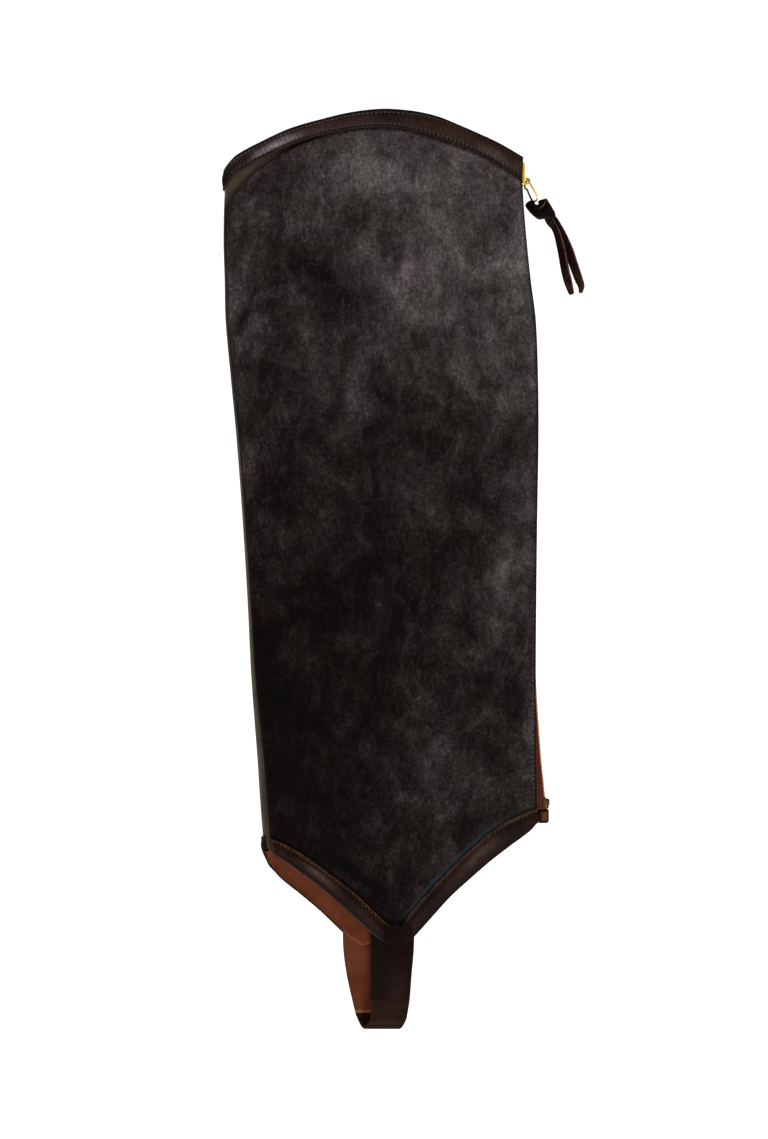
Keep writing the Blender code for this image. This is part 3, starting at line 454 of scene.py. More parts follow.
def colourSteps(tree, value, steps):  # a colour ramp through (place, colour) steps
    made = add(tree, "ShaderNodeValToRGB", {"Fac": value})
    elements = made.color_ramp.elements
    for k, (spot, colour) in enumerate(steps):
        element = elements[k] if k < 2 else elements.new(spot)
        element.position, element.color = spot, (*colour, 1)
    return made.outputs["Color"]


def makeNapGroup():  # suede: broad clouds, brushed patches, a finer mottle, grain and single fibres
    group, given, out = newGroup(
        "suedeNap", [("Cloud Scale", 9), ("Patch Scale", 30), ("Mottle Scale", 150), ("Grain Scale", 620)],
        ["Cloud", "Patch", "Mottle", "Grain", "Fibre", "Tint"],
    )
    where = add(group, "ShaderNodeTexCoord").outputs["Object"]
    brushed = add(group, "ShaderNodeMapping", {"Vector": where}, {"Scale": (1.0, 0.5, 1.0)}).outputs[0]
    comb = {"Rotation": (0, 0, 0.5), "Scale": (1.0, 0.3, 1.0)}
    combed = add(group, "ShaderNodeMapping", {"Vector": where}, comb).outputs[0]
    moved = add(group, "ShaderNodeMapping", {"Vector": where}, {"Location": (3.1, 1.7, 0.4)}).outputs[0]
    made = {
        "Cloud": noise(group, brushed, given.outputs["Cloud Scale"], 2, 0.5, 0.4),
        "Patch": noise(group, where, given.outputs["Patch Scale"], 4, 0.55, 0.7),
        "Mottle": noise(group, brushed, given.outputs["Mottle Scale"], 5, 0.62, 0.8),
        "Grain": noise(group, where, given.outputs["Grain Scale"], 4, 0.72, 0.3),
        "Fibre": noise(group, combed, 900.0, 3, 0.6),
        "Tint": noise(group, moved, given.outputs["Patch Scale"], 3, 0.6, 0.4),
    }
    for title, value in made.items():
        group.links.new(value, out.inputs[title])
    return group


def makeGrainGroup():  # leather: pores and fine wrinkles, with slow changes in tone
    group, given, out = newGroup(
        "leatherGrain", [("Pore Scale", 1500), ("Wrinkle Scale", 260)], ["Pores", "Wrinkles", "Tone"]
    )
    where = add(group, "ShaderNodeTexCoord").outputs["Object"]
    cells = add(
        group, "ShaderNodeTexVoronoi", {"Vector": where, "Scale": given.outputs["Pore Scale"]},
        {"Randomness": 1.0}, feature="F1",
    ).outputs["Distance"]
    wrinkles = noise(group, where, given.outputs["Wrinkle Scale"], 5, 0.6, 1.2)
    tone = noise(group, where, 28.0, 4, 0.55, 0.3)
    for title, value in (("Pores", cells), ("Wrinkles", wrinkles), ("Tone", tone)):
        group.links.new(value, out.inputs[title])
    return group


def makeWearGroup():  # rubbed or raw edges, broken up unevenly
    group, given, out = newGroup("edgeWear", [("Mask", 0), ("Break Scale", 240), ("Amount", 1)], ["Wear"])
    where = add(group, "ShaderNodeTexCoord").outputs["Object"]
    patches = ramp(group, noise(group, where, given.outputs["Break Scale"], 4, 0.6), 0.32, 0.62)
    worn = maths(group, "MULTIPLY", given.outputs["Mask"], patches)
    group.links.new(maths(group, "MULTIPLY", worn, given.outputs["Amount"], clamp=True), out.inputs["Wear"])
    return group


def makeWeaveGroup():  # the zip tape: ribs across it, crossed by fine threads along it
    group, given, out = newGroup(
        "tapeWeave", [("Along", 0), ("Across", 0), ("Pitch", 0.75)], ["Height", "Shade"]
    )
    turn = maths(group, "DIVIDE", 2 * math.pi, given.outputs["Pitch"])
    ribs = maths(group, "SINE", maths(group, "MULTIPLY", given.outputs["Along"], turn))
    crossing = maths(group, "MULTIPLY", turn, 0.8)
    threads = maths(group, "SINE", maths(group, "MULTIPLY", given.outputs["Across"], crossing))
    ribs = maths(group, "MULTIPLY", ribs, 0.5)
    height = maths(group, "ADD", ribs, maths(group, "MULTIPLY", threads, 0.35))
    group.links.new(height, out.inputs["Height"])
    group.links.new(maths(group, "MULTIPLY_ADD", height, 0.5, 0.5), out.inputs["Shade"])
    return group


napGroup, grainGroup = makeNapGroup(), makeGrainGroup()
wearGroup, weaveGroup = makeWearGroup(), makeWeaveGroup()


def useGroup(tree, group, links=None, values=None):
    made = tree.nodes.new("ShaderNodeGroup")
    made.node_tree = group
    for key, value in (values or {}).items():
        made.inputs[key].default_value = value
    for key, source in (links or {}).items():
        tree.links.new(source, made.inputs[key])
    return made.outputs


def colourMix(tree, share, a, b, blend="MIX"):
    made = tree.nodes.new("ShaderNodeMix")
    made.data_type, made.blend_type = "RGBA", blend
    for socket, value in ((made.inputs[0], share), (made.inputs[6], a), (made.inputs[7], b)):
        if isinstance(value, (int, float)):
            socket.default_value = value
        elif isinstance(value, tuple):
            socket.default_value = (*value, 1)
        else:
            tree.links.new(value, socket)
    return made.outputs[2]


def newMaterial(name, roughness=0.5, metallic=0.0, specular=0.5, **sockets):
    material = bpy.data.materials.new(name)
    material.use_nodes = True
    tree = material.node_tree
    shader = tree.nodes["Principled BSDF"]
    shader.inputs["Roughness"].default_value = roughness
    shader.inputs["Metallic"].default_value = metallic
    shader.inputs["Specular IOR Level"].default_value = specular
    for title, value in sockets.items():
        shader.inputs[title.replace("_", " ")].default_value = value
    return material, tree, shader


def mark(tree, name):
    return add(tree, "ShaderNodeAttribute", attribute_name=name).outputs["Fac"]


def bump(tree, shader, height, distance):
    made = add(tree, "ShaderNodeBump", {"Height": height}, {"Strength": 1.0, "Distance": distance * mm})
    tree.links.new(made.outputs[0], shader.inputs["Normal"])


suedeLook = {
    "steps": (  # the nap from its darkest to its lightest
        (0.0, (0.0022, 0.0014, 0.0012)), (0.208, (0.0074, 0.0050, 0.0044)),
        (0.424, (0.0195, 0.0152, 0.0145)), (0.64, (0.0475, 0.0402, 0.0400)),
        (0.82, (0.0900, 0.0790, 0.0790)), (1.0, (0.1600, 0.1420, 0.1420)),
    ),
    "rise": ((-0.08, 0.235), (0.180, 0.550)), "lean": 1.55,  # lighter to the knee, and to the zip
    # a painted highlight: lighter towards the zip edge
    "edge": ((0.050, 0.073), (0, 0.03)),
    "cloud": 0.26, "patch": 0.34, "mottle": 0.26, "grain": 0.30, "fibre": 0.13,
    # the last colour here is a blue-grey painted reflection, laid above the hem
    "plum": (1.03, 0.98, 1.01), "olive": (0.99, 1.0, 0.94), "paintedReflection": (0.0150, 0.0250, 0.0280),
    "flesh": (0.095, 0.030, 0.013), "cut": (0.0085, 0.0042, 0.0030), "napBump": 0.12,
    "scuffs": (  # x, y, degrees, length, width, strength: first small rubs and scratches
        (26, 203, 30, 6, 4.5, 0.16), (48, 217.3, -42, 5, 0.7, 0.5), (-43.6, 217, -75, 5, 0.8, 0.35),
        (-46.5, 219.5, -70, 4, 0.7, 0.25), (-75.5, 196.5, 20, 8, 5, 0.16), (8.5, -70.5, 40, 5, 1.0, 0.4),
        (29.5, -67.5, -76, 5, 0.7, 0.22), (10, -56.3, -80, 4.5, 0.8, 0.28),
        (52.7, -121.8, 88, 4, 0.8, 0.35), (-6, 234.2, -3, 12, 0.7, -0.22),
        (22, 137, -80, 26, 1.4, -0.12), (-30, 96, 78, 34, 1.5, 0.08),
        # then wide patches where the nap lies lighter or darker
        (58, 8, 85, 150, 60, 0.20), (-70, 105, 80, 90, 30, -0.08), (70, -75, 88, 120, 16, 0.12),
        (-10, 222, 10, 90, 50, 0.17), (-8, 138, 0, 80, 70, 0.08), (-60, 26, 90, 90, 44, -0.12),
        (-10, -160, 0, 50, 36, 0.07), (48, -80, 88, 90, 50, -0.09), (22, -140, 30, 60, 40, -0.07),
        (-88, 196, 55, 40, 18, 0.12),
    ),
}


def scuffMarks(tree, where, scuffs):  # each one a stretched soft ball
    total = 0.0
    for x, y, degrees, length, width, strength in scuffs:
        values = {
            "Location": (x * mm, y * mm, 0), "Rotation": (0, 0, math.radians(degrees)),
            "Scale": (length / 2 * mm, width / 2 * mm, 1),
        }
        near = add(tree, "ShaderNodeMapping", {"Vector": where}, values, vector_type="TEXTURE").outputs[0]
        ball = add(tree, "ShaderNodeTexGradient", {"Vector": near}, gradient_type="SPHERICAL")
        total = maths(tree, "MULTIPLY_ADD", ball.outputs["Fac"], strength, total)
    return total


def makeSuede():
    look = suedeLook
    material, tree, shader = newMaterial(
        "charcoalSuede", 0.95, specular=0.03, Sheen_Weight=0.02, Sheen_Roughness=0.6
    )
    nap = useGroup(tree, napGroup)
    where = add(tree, "ShaderNodeTexCoord").outputs["Object"]
    split = add(tree, "ShaderNodeSeparateXYZ", {"Vector": where}).outputs
    (low, high), to = look["rise"]
    tone = ramp(tree, split["Y"], low, high, to, soft=True)
    tone = maths(tree, "MULTIPLY_ADD", split["X"], look["lean"], tone)
    # painted highlight towards the zip edge
    (low, high), to = look["edge"]
    tone = maths(tree, "ADD", tone, ramp(tree, split["X"], low, high, to, soft=True))
    for title in ("Cloud", "Patch", "Mottle", "Grain", "Fibre"):
        reach = look[title.lower()] / 2
        tone = maths(tree, "ADD", tone, ramp(tree, nap[title], 0.32, 0.68, (-reach, reach)))
    tone = maths(tree, "ADD", tone, scuffMarks(tree, where, look["scuffs"]))
    tone = maths(tree, "SUBTRACT", tone, mark(tree, "shade"), clamp=True)
    colour = colourSteps(tree, tone, look["steps"])
    tint = colourMix(tree, ramp(tree, nap["Tint"], 0.36, 0.64), look["plum"], look["olive"])
    colour = colourMix(tree, 1.0, colour, tint, "MULTIPLY")
    # painted reflection above the hem, in blue-grey
    colour = colourMix(tree, mark(tree, "paintedReflection"), colour, look["paintedReflection"])
    colour = colourMix(tree, mark(tree, "rawEdge"), colour, look["cut"])
    colour = colourMix(tree, mark(tree, "inside"), colour, look["flesh"])
    tree.links.new(colour, shader.inputs["Base Color"])
    fuzz = maths(tree, "ADD", nap["Fibre"], maths(tree, "ADD", nap["Mottle"], nap["Grain"]))
    bump(tree, shader, fuzz, look["napBump"])
    return material


def makeLeather(name, look):
    material, tree, shader = newMaterial(name, look["roughness"], specular=look["specular"])
    grain = useGroup(tree, grainGroup, values={"Pore Scale": look["pores"]})
    tone = ramp(tree, grain["Tone"], 0.3, 0.7)
    fine = ramp(tree, grain["Wrinkles"], 0.3, 0.7, (-0.25, 0.25))
    tone = maths(tree, "ADD", tone, fine, clamp=True)
    colour = colourMix(tree, tone, look["dark"], look["light"])
    where = add(tree, "ShaderNodeTexCoord").outputs["Object"]
    acrossLeg = add(tree, "ShaderNodeSeparateXYZ", {"Vector": where}).outputs["X"]
    # the leather changes tone along X towards the right; on the bindings' right arms this is a painted brown
    # highlight
    rightTone = ramp(tree, acrossLeg, look["rightToneFrom"] * mm, look["rightToneTo"] * mm, soft=True)
    colour = colourMix(tree, rightTone, colour, colourMix(tree, tone, look["rightTone"], look["rightToneLight"]))
    colour = colourMix(tree, mark(tree, "shade"), colour, look["deep"])
    raw = useGroup(tree, wearGroup, {"Mask": mark(tree, "rawEdge")}, {"Amount": look["wear"]})["Wear"]
    colour = colourMix(tree, raw, colour, look["raw"])
    # darker at the needle holes, with painted shade in the gathers beside the rows
    holesAndGatherShade = maths(tree, "MULTIPLY", mark(tree, "needleAndGatherShade"), look["needleAndGatherShade"])
    colour = colourMix(tree, holesAndGatherShade, colour, look["deep"])
    # painted highlights, and a few pale edge lines, broken up by the wrinkles
    patches = ramp(tree, grain["Wrinkles"], 0.34, 0.6, (0.45, 1.15))
    highlightMix = maths(tree, "MULTIPLY", mark(tree, "highlightAndPaleEdge"), patches, clamp=True)
    colour = colourMix(tree, highlightMix, colour, look["highlightAndPaleEdge"])
    tree.links.new(colour, shader.inputs["Base Color"])
    rough = maths(tree, "MULTIPLY_ADD", grain["Wrinkles"], 0.22, look["roughness"] - 0.1)
    rough = maths(tree, "MULTIPLY_ADD", mark(tree, "shade"), 0.2, rough, clamp=True)
    tree.links.new(rough, shader.inputs["Roughness"])
    height = maths(tree, "MULTIPLY_ADD", grain["Pores"], 0.6, grain["Wrinkles"])
    bump(tree, shader, height, look["grainDepth"])
    return material


darkLook = {
    "dark": (0.0120, 0.0052, 0.0042), "light": (0.0400, 0.0215, 0.0180), "deep": (0.0036, 0.0016, 0.0013),
    "rightTone": (0.0250, 0.0125, 0.0080), "rightToneLight": (0.0560, 0.0320, 0.0215), "rightToneFrom": -20, "rightToneTo": 60,
    "raw": (0.085, 0.034, 0.012), "highlightAndPaleEdge": (0.200, 0.165, 0.175), "roughness": 0.3, "specular": 0.09,
    "pores": 1300, "wear": 0.9, "needleAndGatherShade": 1.0, "grainDepth": 0.03,
}
hemLook = dict(
    darkLook, dark=(0.0060, 0.0020, 0.0018), light=(0.0300, 0.0135, 0.0090), deep=(0.0040, 0.0010, 0.0012),
    rightTone=(0.0065, 0.0018, 0.0018), rightToneLight=(0.0330, 0.0165, 0.0100), rightToneFrom=0,
    highlightAndPaleEdge=(0.112, 0.078, 0.060), specular=0.06,
)
oliveLook = {
    "dark": (0.034, 0.0262, 0.0185), "light": (0.057, 0.0435, 0.0315), "deep": (0.006, 0.004, 0.003),
    "rightTone": (0.020, 0.0105, 0.0060), "rightToneLight": (0.042, 0.024, 0.014), "rightToneFrom": -80, "rightToneTo": -62,
    "raw": (0.024, 0.012, 0.007), "highlightAndPaleEdge": (0.42, 0.36, 0.26), "roughness": 0.4, "specular": 0.06,
    "pores": 1400, "wear": 0.9, "needleAndGatherShade": 0.4, "grainDepth": 0.03,
}
rustLook = {
    "dark": (0.078, 0.0175, 0.0072), "light": (0.150, 0.041, 0.0175), "deep": (0.012, 0.004, 0.002),
    "rightTone": (0.060, 0.0135, 0.0055), "rightToneLight": (0.115, 0.031, 0.0130), "rightToneFrom": -45, "rightToneTo": -25,
    "raw": (0.022, 0.007, 0.004), "highlightAndPaleEdge": (0.34, 0.15, 0.07), "roughness": 0.58, "specular": 0.03,
    "pores": 1100, "wear": 1.2, "needleAndGatherShade": 0.4, "grainDepth": 0.03,
}
soleLook = dict(
    darkLook, dark=(0.0070, 0.0028, 0.0018), light=(0.0190, 0.0085, 0.0054), rightTone=(0.0066, 0.0027, 0.0018),
    rightToneLight=(0.0175, 0.0077, 0.0050), raw=(0.055, 0.020, 0.010), roughness=0.45, specular=0.02,
)
strapLook = dict(
    darkLook, dark=(0.0040, 0.0016, 0.0013), light=(0.0105, 0.0046, 0.0036), rightTone=(0.0050, 0.0021, 0.0016),
    rightToneLight=(0.0130, 0.0058, 0.0044), raw=(0.020, 0.008, 0.005), highlightAndPaleEdge=(0.085, 0.034, 0.030), roughness=0.4,
    specular=0.025,
)
thongLook = dict(
    darkLook, dark=(0.0020, 0.0010, 0.0009), light=(0.0045, 0.0021, 0.0017), rightTone=(0.0028, 0.0013, 0.0011),
    rightToneLight=(0.0085, 0.0038, 0.0029), rightToneFrom=77, rightToneTo=84, raw=(0.120, 0.046, 0.026), wear=2.2,
    roughness=0.34, specular=0.07,
)

tapeLook = {"dark": (0.008, 0.0020, 0.0014), "light": (0.115, 0.031, 0.015), "pitch": 1.3, "weaveDepth": 0.12}
foldLook = {"dark": (0.012, 0.005, 0.003), "light": (0.24, 0.115, 0.050), "pitch": 1.25, "weaveDepth": 0.12}


def makeTape(name, look):
    material, tree, shader = newMaterial(name, 0.8, specular=0.1)
    links = {"Along": mark(tree, "along"), "Across": mark(tree, "across")}
    weave = useGroup(tree, weaveGroup, links, {"Pitch": look["pitch"]})
    colour = colourMix(tree, weave["Shade"], look["dark"], look["light"])
    tree.links.new(colour, shader.inputs["Base Color"])
    bump(tree, shader, weave["Height"], look["weaveDepth"])
    return material


def makeMetal(name, look):
    material, tree, shader = newMaterial(name, look["roughness"], look["metallic"], look["specular"])
    grain = useGroup(tree, grainGroup, values={"Pore Scale": 700, "Wrinkle Scale": 400})
    colour = colourMix(tree, ramp(tree, grain["Tone"], 0.35, 0.65), look["dark"], look["light"])
    # where the shade mark is set: the box's dark case, and painted shade on the ring's lower wire
    colour = colourMix(tree, mark(tree, "shade"), colour, look["darkAndShaded"])
    tree.links.new(colour, shader.inputs["Base Color"])
    rough = maths(tree, "MULTIPLY_ADD", grain["Wrinkles"], 0.2, look["roughness"] - 0.1)
    tree.links.new(rough, shader.inputs["Roughness"])
    bump(tree, shader, grain["Wrinkles"], look["dent"])
    return material


brassLook = {
    "light": (0.72, 0.34, 0.095), "dark": (0.42, 0.175, 0.045), "darkAndShaded": (0.05, 0.02, 0.008),
    "metallic": 0.3, "roughness": 0.42, "specular": 0.4, "dent": 0.03,
}
boxLook = dict(
    brassLook, light=(0.110, 0.036, 0.012), dark=(0.052, 0.017, 0.007), darkAndShaded=(0.005, 0.0025, 0.0018),
    metallic=0.0, specular=0.06,
)
gildedLook = {
    "light": (1.0, 0.83, 0.10), "dark": (1.0, 0.62, 0.045), "darkAndShaded": (0.045, 0.022, 0.010),
    "metallic": 0.35, "roughness": 0.3, "specular": 0.5, "dent": 0.02,
}
threadLooks = {  # colour at the start, at the end, the axis between them and where
    "edgeThread": ((0.15, 0.135, 0.125), (0.010, 0.007, 0.007), "Y", -100, 60),
    "lowerThread": ((0.018, 0.009, 0.0065), (0.040, 0.022, 0.015), "X", -30, 50),
    "upperThread": ((0.18, 0.125, 0.098), (0.050, 0.026, 0.016), "X", -10, 40),
    "hemThread": ((0.105, 0.058, 0.030), (0.080, 0.044, 0.022), "X", -60, 60),
}


threadShape = {"plies": 9000, "plyDepth": 0.05, "speckScale": 300.0, "speckShare": 0.6, "speckDark": 0.3}


def makeThread(name, low, high, axis, fromAt, toAt):  # a thread whose colour changes along the gaiter
    look = threadShape
    material, tree, shader = newMaterial(name, 0.6, specular=0.1)
    where = add(tree, "ShaderNodeTexCoord").outputs["Object"]
    split = add(tree, "ShaderNodeSeparateXYZ", {"Vector": where}).outputs
    slanted = maths(tree, "ADD", split["X"], split["Y"])
    ply = maths(tree, "SINE", maths(tree, "MULTIPLY", slanted, look["plies"]))
    colour = colourMix(tree, ramp(tree, split[axis], fromAt * mm, toAt * mm), low, high)
    speck = ramp(tree, noise(tree, where, look["speckScale"], 3), 0.35, 0.65, (0, look["speckShare"]))
    colour = colourMix(tree, speck, colour, tuple(c * look["speckDark"] for c in low))
    tree.links.new(colour, shader.inputs["Base Color"])
    bump(tree, shader, ply, look["plyDepth"])
    return material


suede = makeSuede()
darkLeather = makeLeather("darkLeather", darkLook)
hemLeather = makeLeather("hemLeather", hemLook)
oliveLeather = makeLeather("oliveLeather", oliveLook)
rustLeather = makeLeather("rustLeather", rustLook)
soleLeather = makeLeather("soleLeather", soleLook)
strapLeather = makeLeather("strapLeather", strapLook)
thongLeather = makeLeather("thongLeather", thongLook)
tapeCloth = makeTape("wovenTape", tapeLook)
foldCloth = makeTape("foldedTape", foldLook)
agedBrass = makeMetal("agedBrass", brassLook)
darkBrass = makeMetal("darkBrass", boxLook)
giltMetal = makeMetal("giltMetal", gildedLook)
threads = [makeThread(name, *look) for name, look in threadLooks.items()]
edgeThread, lowerThread, upperThread, hemThread = threads
print("materials made")

# stitches: rows of small rounded threads that dip into the leather
stitchShape = {
    "sides": 6, "rings": (-1.0, -0.8, -0.35, 0.35, 0.8, 1.0), "widths": (0.2, 0.75, 1.0, 1.0, 0.75, 0.2),
    "dip": 0.44, "slant": 0.06,
}


def stitchRow(name, p, y, w, pitch, length, thick, material, lift=0.05, start=0.6):
    path, out = place(p, y, w), facing(p, y)
    steps = np.linalg.norm(np.diff(path, axis=0), axis=1)
    run = np.concatenate([[0], np.cumsum(steps)])
    centres = np.arange(start * pitch, run[-1] - 0.5 * length, pitch)
    spot = np.stack([np.interp(centres, run, path[:, k]) for k in range(3)], 1)
    ahead = np.stack([np.interp(centres + 0.4, run, path[:, k]) for k in range(3)], 1) - spot
    ahead /= np.linalg.norm(ahead, axis=1, keepdims=True)
    normal = np.stack([np.interp(centres, run, out[:, k]) for k in range(3)], 1)
    side = np.cross(normal, ahead)
    random = np.random.default_rng(len(name) * 7 + len(centres))
    ahead = ahead + side * random.normal(0, stitchShape["slant"], len(centres))[:, None]
    sides, rings, widths = stitchShape["sides"], stitchShape["rings"], stitchShape["widths"]
    points, faces = [], []
    for ring, width in zip(rings, widths):
        dip, radius = lift - stitchShape["dip"] * thick * ring**4, width * thick / 2
        for k in range(sides):
            turn = 2 * math.pi * k / sides
            offset = side * (math.cos(turn) * radius) + normal * (math.sin(turn) * radius + dip)
            points.append(spot + ahead * (ring * length / 2) + offset)
    points = np.stack(points, 1)
    single = loftFaces(len(rings), sides)
    each = len(rings) * sides
    for k in range(len(centres)):
        faces += [[v + k * each for v in face] for face in single]
    return buildMesh(name, points, faces, material, sharp=80)


# the two suede panels
nearPanel = {
    "size": (176, 440), "step": 1.7, "rowStep": 1.2, "groove": 0.10, "pucker": 0.16,
    "stitchInset": 1.5, "stitch": (1.25, 0.42), "pitch": 2.45, "stitchY": (-126, 211),
    "creaseShade": (0.36, 0.42), "notchShade": 0.5, "topShade": 0.35, "hemShade": 0.3,
    "paintedReflection": (2.0, 1.7, 0.85),  # a painted reflection: mm above the hem's binding, width, share
}


def suedeTopEdge(p, y):
    x = np.where(p < foldArc, place(p, y, panelOut)[..., 0], xOf(p, y))
    inside = along(topNear, "x", "edge", x) - bindingWall - gap
    return np.where(x >= underBindingX, inside, np.minimum(along(suedeTop, "x", "y", x), inside))


def panelGrid(leftP, rightP, lowY, highY, across, down):
    guessLow, guessHigh = np.full_like(across, -160.0), np.full_like(across, 225.0)
    for turn in range(10):
        lowP = leftP(guessLow) + (rightP(guessLow) - leftP(guessLow)) * across
        guessLow = lowY(lowP, guessLow)
        highP = leftP(guessHigh) + (rightP(guessHigh) - leftP(guessHigh)) * across
        guessHigh = highY(highP, guessHigh)
    y = guessLow + (guessHigh - guessLow) * down[:, None]
    p = leftP(y) + (rightP(y) - leftP(y)) * across
    return p, y


def creaseShade(x, y):  # painted shade along the crease troughs, and painted light on the ridges
    shade = np.zeros_like(x)
    share, narrow = nearPanel["creaseShade"]
    for *ends, depth, width in zip(*creases.values()):
        t, off = alongCrease(x, y, *ends)
        window = smooth(-0.2, 0.3, t) * (1 - smooth(0.8, 1.15, t))
        shade += share * depth * window * np.exp(-((off / (narrow * width)) ** 2))
    return shade


def makeNearPanel():
    look = nearPanel
    wide, tall = look["size"]
    p, y = panelGrid(
        lambda y: section("seam", y),
        lambda y: pOf(section("zipEdge", y), y, 1),
        lambda p, y: along(hemNear, "x", "edge", xOf(p, y)) + bindingWall + gap,
        suedeTopEdge,
        stations(wide, look["step"], (0, 0.12, 0.35, 0.8, 1.2, 1.55, 2.1, 3.0)),
        stations(tall, look["rowStep"]),
    )
    right = borderDistance(p, y)[1]
    beat = 0.5 - 0.5 * np.cos(2 * np.pi * y / look["pitch"])
    row = np.exp(-(((right - look["stitchInset"]) / 0.7) ** 2))
    outer = panelOut - row * (look["groove"] + look["pucker"] * beat)
    x = xOf(p, y)
    notches = look["notchShade"] * beat * np.exp(-((right / 0.9) ** 2))
    underBinding = smooth(2.2, 0.3, along(topNear, "x", "binding", x) - y) * look["topShade"]
    hemLine = y - along(hemNear, "x", "binding", x)
    underBinding += look["hemShade"] * smooth(2.4, 0.2, hemLine) * (x < 2)
    # painted reflection: a blue-grey band on the nap just above the hem's right arm
    coolAt, coolWidth, coolShare = look["paintedReflection"]
    paintedReflection = coolShare * np.exp(-(((hemLine - coolAt) / coolWidth) ** 2))
    paintedReflection = paintedReflection * smooth(-1, 6, x) * (1 - smooth(50, 64, x))
    shades = {"shade": creaseShade(x, y) + notches + underBinding, "paintedReflection": paintedReflection}
    piece = sheetWall(
        "near_panel_suede", p, y, outer, np.full_like(p, gap), suede, ease=0.55, rawWidth=0.8,
        shades=shades, slot="suede",
    )
    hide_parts("near_panel")
    ys = np.linspace(*look["stitchY"], 500)
    rowP = pOf(section("zipEdge", ys), ys, 1) - look["stitchInset"]
    stitchRow(
        "near_edge_stitches", rowP, ys, panelOut - 0.14, look["pitch"], *look["stitch"], edgeThread,
        lift=0.02,
    )


farPanel = {
    "size": (166, 410), "step": 2.4, "rowStep": 2.2,
    "stitchInset": 1.9, "stitch": (1.5, 0.45), "pitch": 2.4, "stitchY": (-126, 205),
}


def makeFarPanel():
    look = farPanel
    wide, tall = look["size"]
    p, y = panelGrid(
        lambda y: np.full_like(y, farEdgeP),
        lambda y: pOf(farEdgeX(y), y, -1),
        lambda p, y: hemEdge(p, y) + bindingWall + gap,
        lambda p, y: topEdge(p, y) - bindingWall - gap,
        stations(wide, look["step"], (0, 0.12, 0.35, 0.7, 1.2, 2.0, 3.2)),
        stations(tall, look["rowStep"]),
    )
    outer = np.full_like(p, panelOut)
    piece = sheetWall("far_panel_suede", p, y, outer, np.full_like(p, gap), suede, ease=0.5, slot="suede")
    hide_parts("far_panel")
    ys = np.linspace(*look["stitchY"], 500)
    rowP = pOf(farEdgeX(ys), ys, -1) + look["stitchInset"]
    stitchRow(
        "far_edge_stitches", rowP, ys, panelOut - 0.2, look["pitch"], *look["stitch"], edgeThread, lift=0.0,
    )


makeNearPanel()
makeFarPanel()
print("suede panels laid")

# the smooth strip round the front fold, with its crescent
frontStrip = {
    "scoring": 1.1, "lowEnd": 4.8,
    "glint": (1.4, 1.2, 0.75), "glintY": (203.5, 205.5, 209, 214.5),  # the line beside the crescent
    "lowGlint": (2.6, 1.5, 0.16), "lowGlintY": (120, 60),  # and a faint one down the fold
}


def makeFrontStrip():
    def underSuede(p, y):
        return along(suedeTop, "x", "y", xOf(p, y)) - stripLap

    def top(p, y):
        return topEdge(p, y) - bindingWall - 2 * gap

    def line(look, p):
        spot, width, share = look
        return share * np.exp(-(((p - spot) / width) ** 2))

    def glint(p, y):
        riseFrom, riseTo, fadeFrom, fadeTo = frontStrip["glintY"]
        window = smooth(riseFrom, riseTo, y) * (1 - smooth(fadeFrom, fadeTo, y))
        low = smooth(*frontStrip["lowGlintY"], y)
        return line(frontStrip["glint"], p) * window + line(frontStrip["lowGlint"], p) * low

    margin = foldArc + stripNearMargin
    foldPs = np.linspace(-foldArc, foldArc, 25)[1:]
    lowPs = np.array([stripFarP, *foldPs[1:], margin])
    raised = bindingWall + gap + frontStrip["lowEnd"] * smooth(3.4, 2.2, lowPs)
    low = list(zip(lowPs, hemEdge(lowPs, -157) + raised))
    side = [(margin, y) for y in range(-140, 200, 10)]
    armXs = np.linspace(foldCentre(205) + stripNearMargin + 1, stripArmX, 30)
    armLow = np.stack(settle(underSuede, armXs, 1, 215), 1)
    armTop = np.stack(settle(top, np.linspace(stripArmX, foldCentre(226) + 2, 30), 1, 240), 1)
    over = [(p, top(p, 224)) for p in foldPs[::-1]] + [(stripFarP, top(stripFarP, 222))]
    outline = [(float(p), float(y)) for p, y in [*low, *side, *armLow, *armTop, *over]]
    piece = cutWall(
        "front_strip_leather", outline, lambda p, y: np.full_like(p, -stripWall),
        lambda p, y: np.zeros_like(p), frontStrip["scoring"], oliveLeather, {"highlightAndPaleEdge": glint},
        slot="smooth_leather",
    )
    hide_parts("front_strip")


makeFrontStrip()
print("front strip folded")


# bindings: bands turned over the edges, grooved and puckered by their stitches
def overPanels(p, y):
    far = 1 - smooth(-4.2, -1.0, p)
    nearTop = smooth(-72.0, -60.0, xOf(p, y)) * (p > foldArc)
    nearHem = smooth(farBindingEnd, 7.0, p)
    return panelOut * np.where(p <= 0, far, np.where(y < 0, nearHem, nearTop))


def insidePanels(p, y):
    near = smooth(stripArmX + 2, stripArmX + 8, xOf(p, y)) * (p > foldArc)
    return -stripWall + (stripWall + gap) * np.where(p > 0, near, 1 - smooth(-12.0, stripFarP - 0.7, p))


def runLength(points):
    return np.concatenate([[0], np.cumsum(np.linalg.norm(np.diff(points, axis=0), axis=1))])


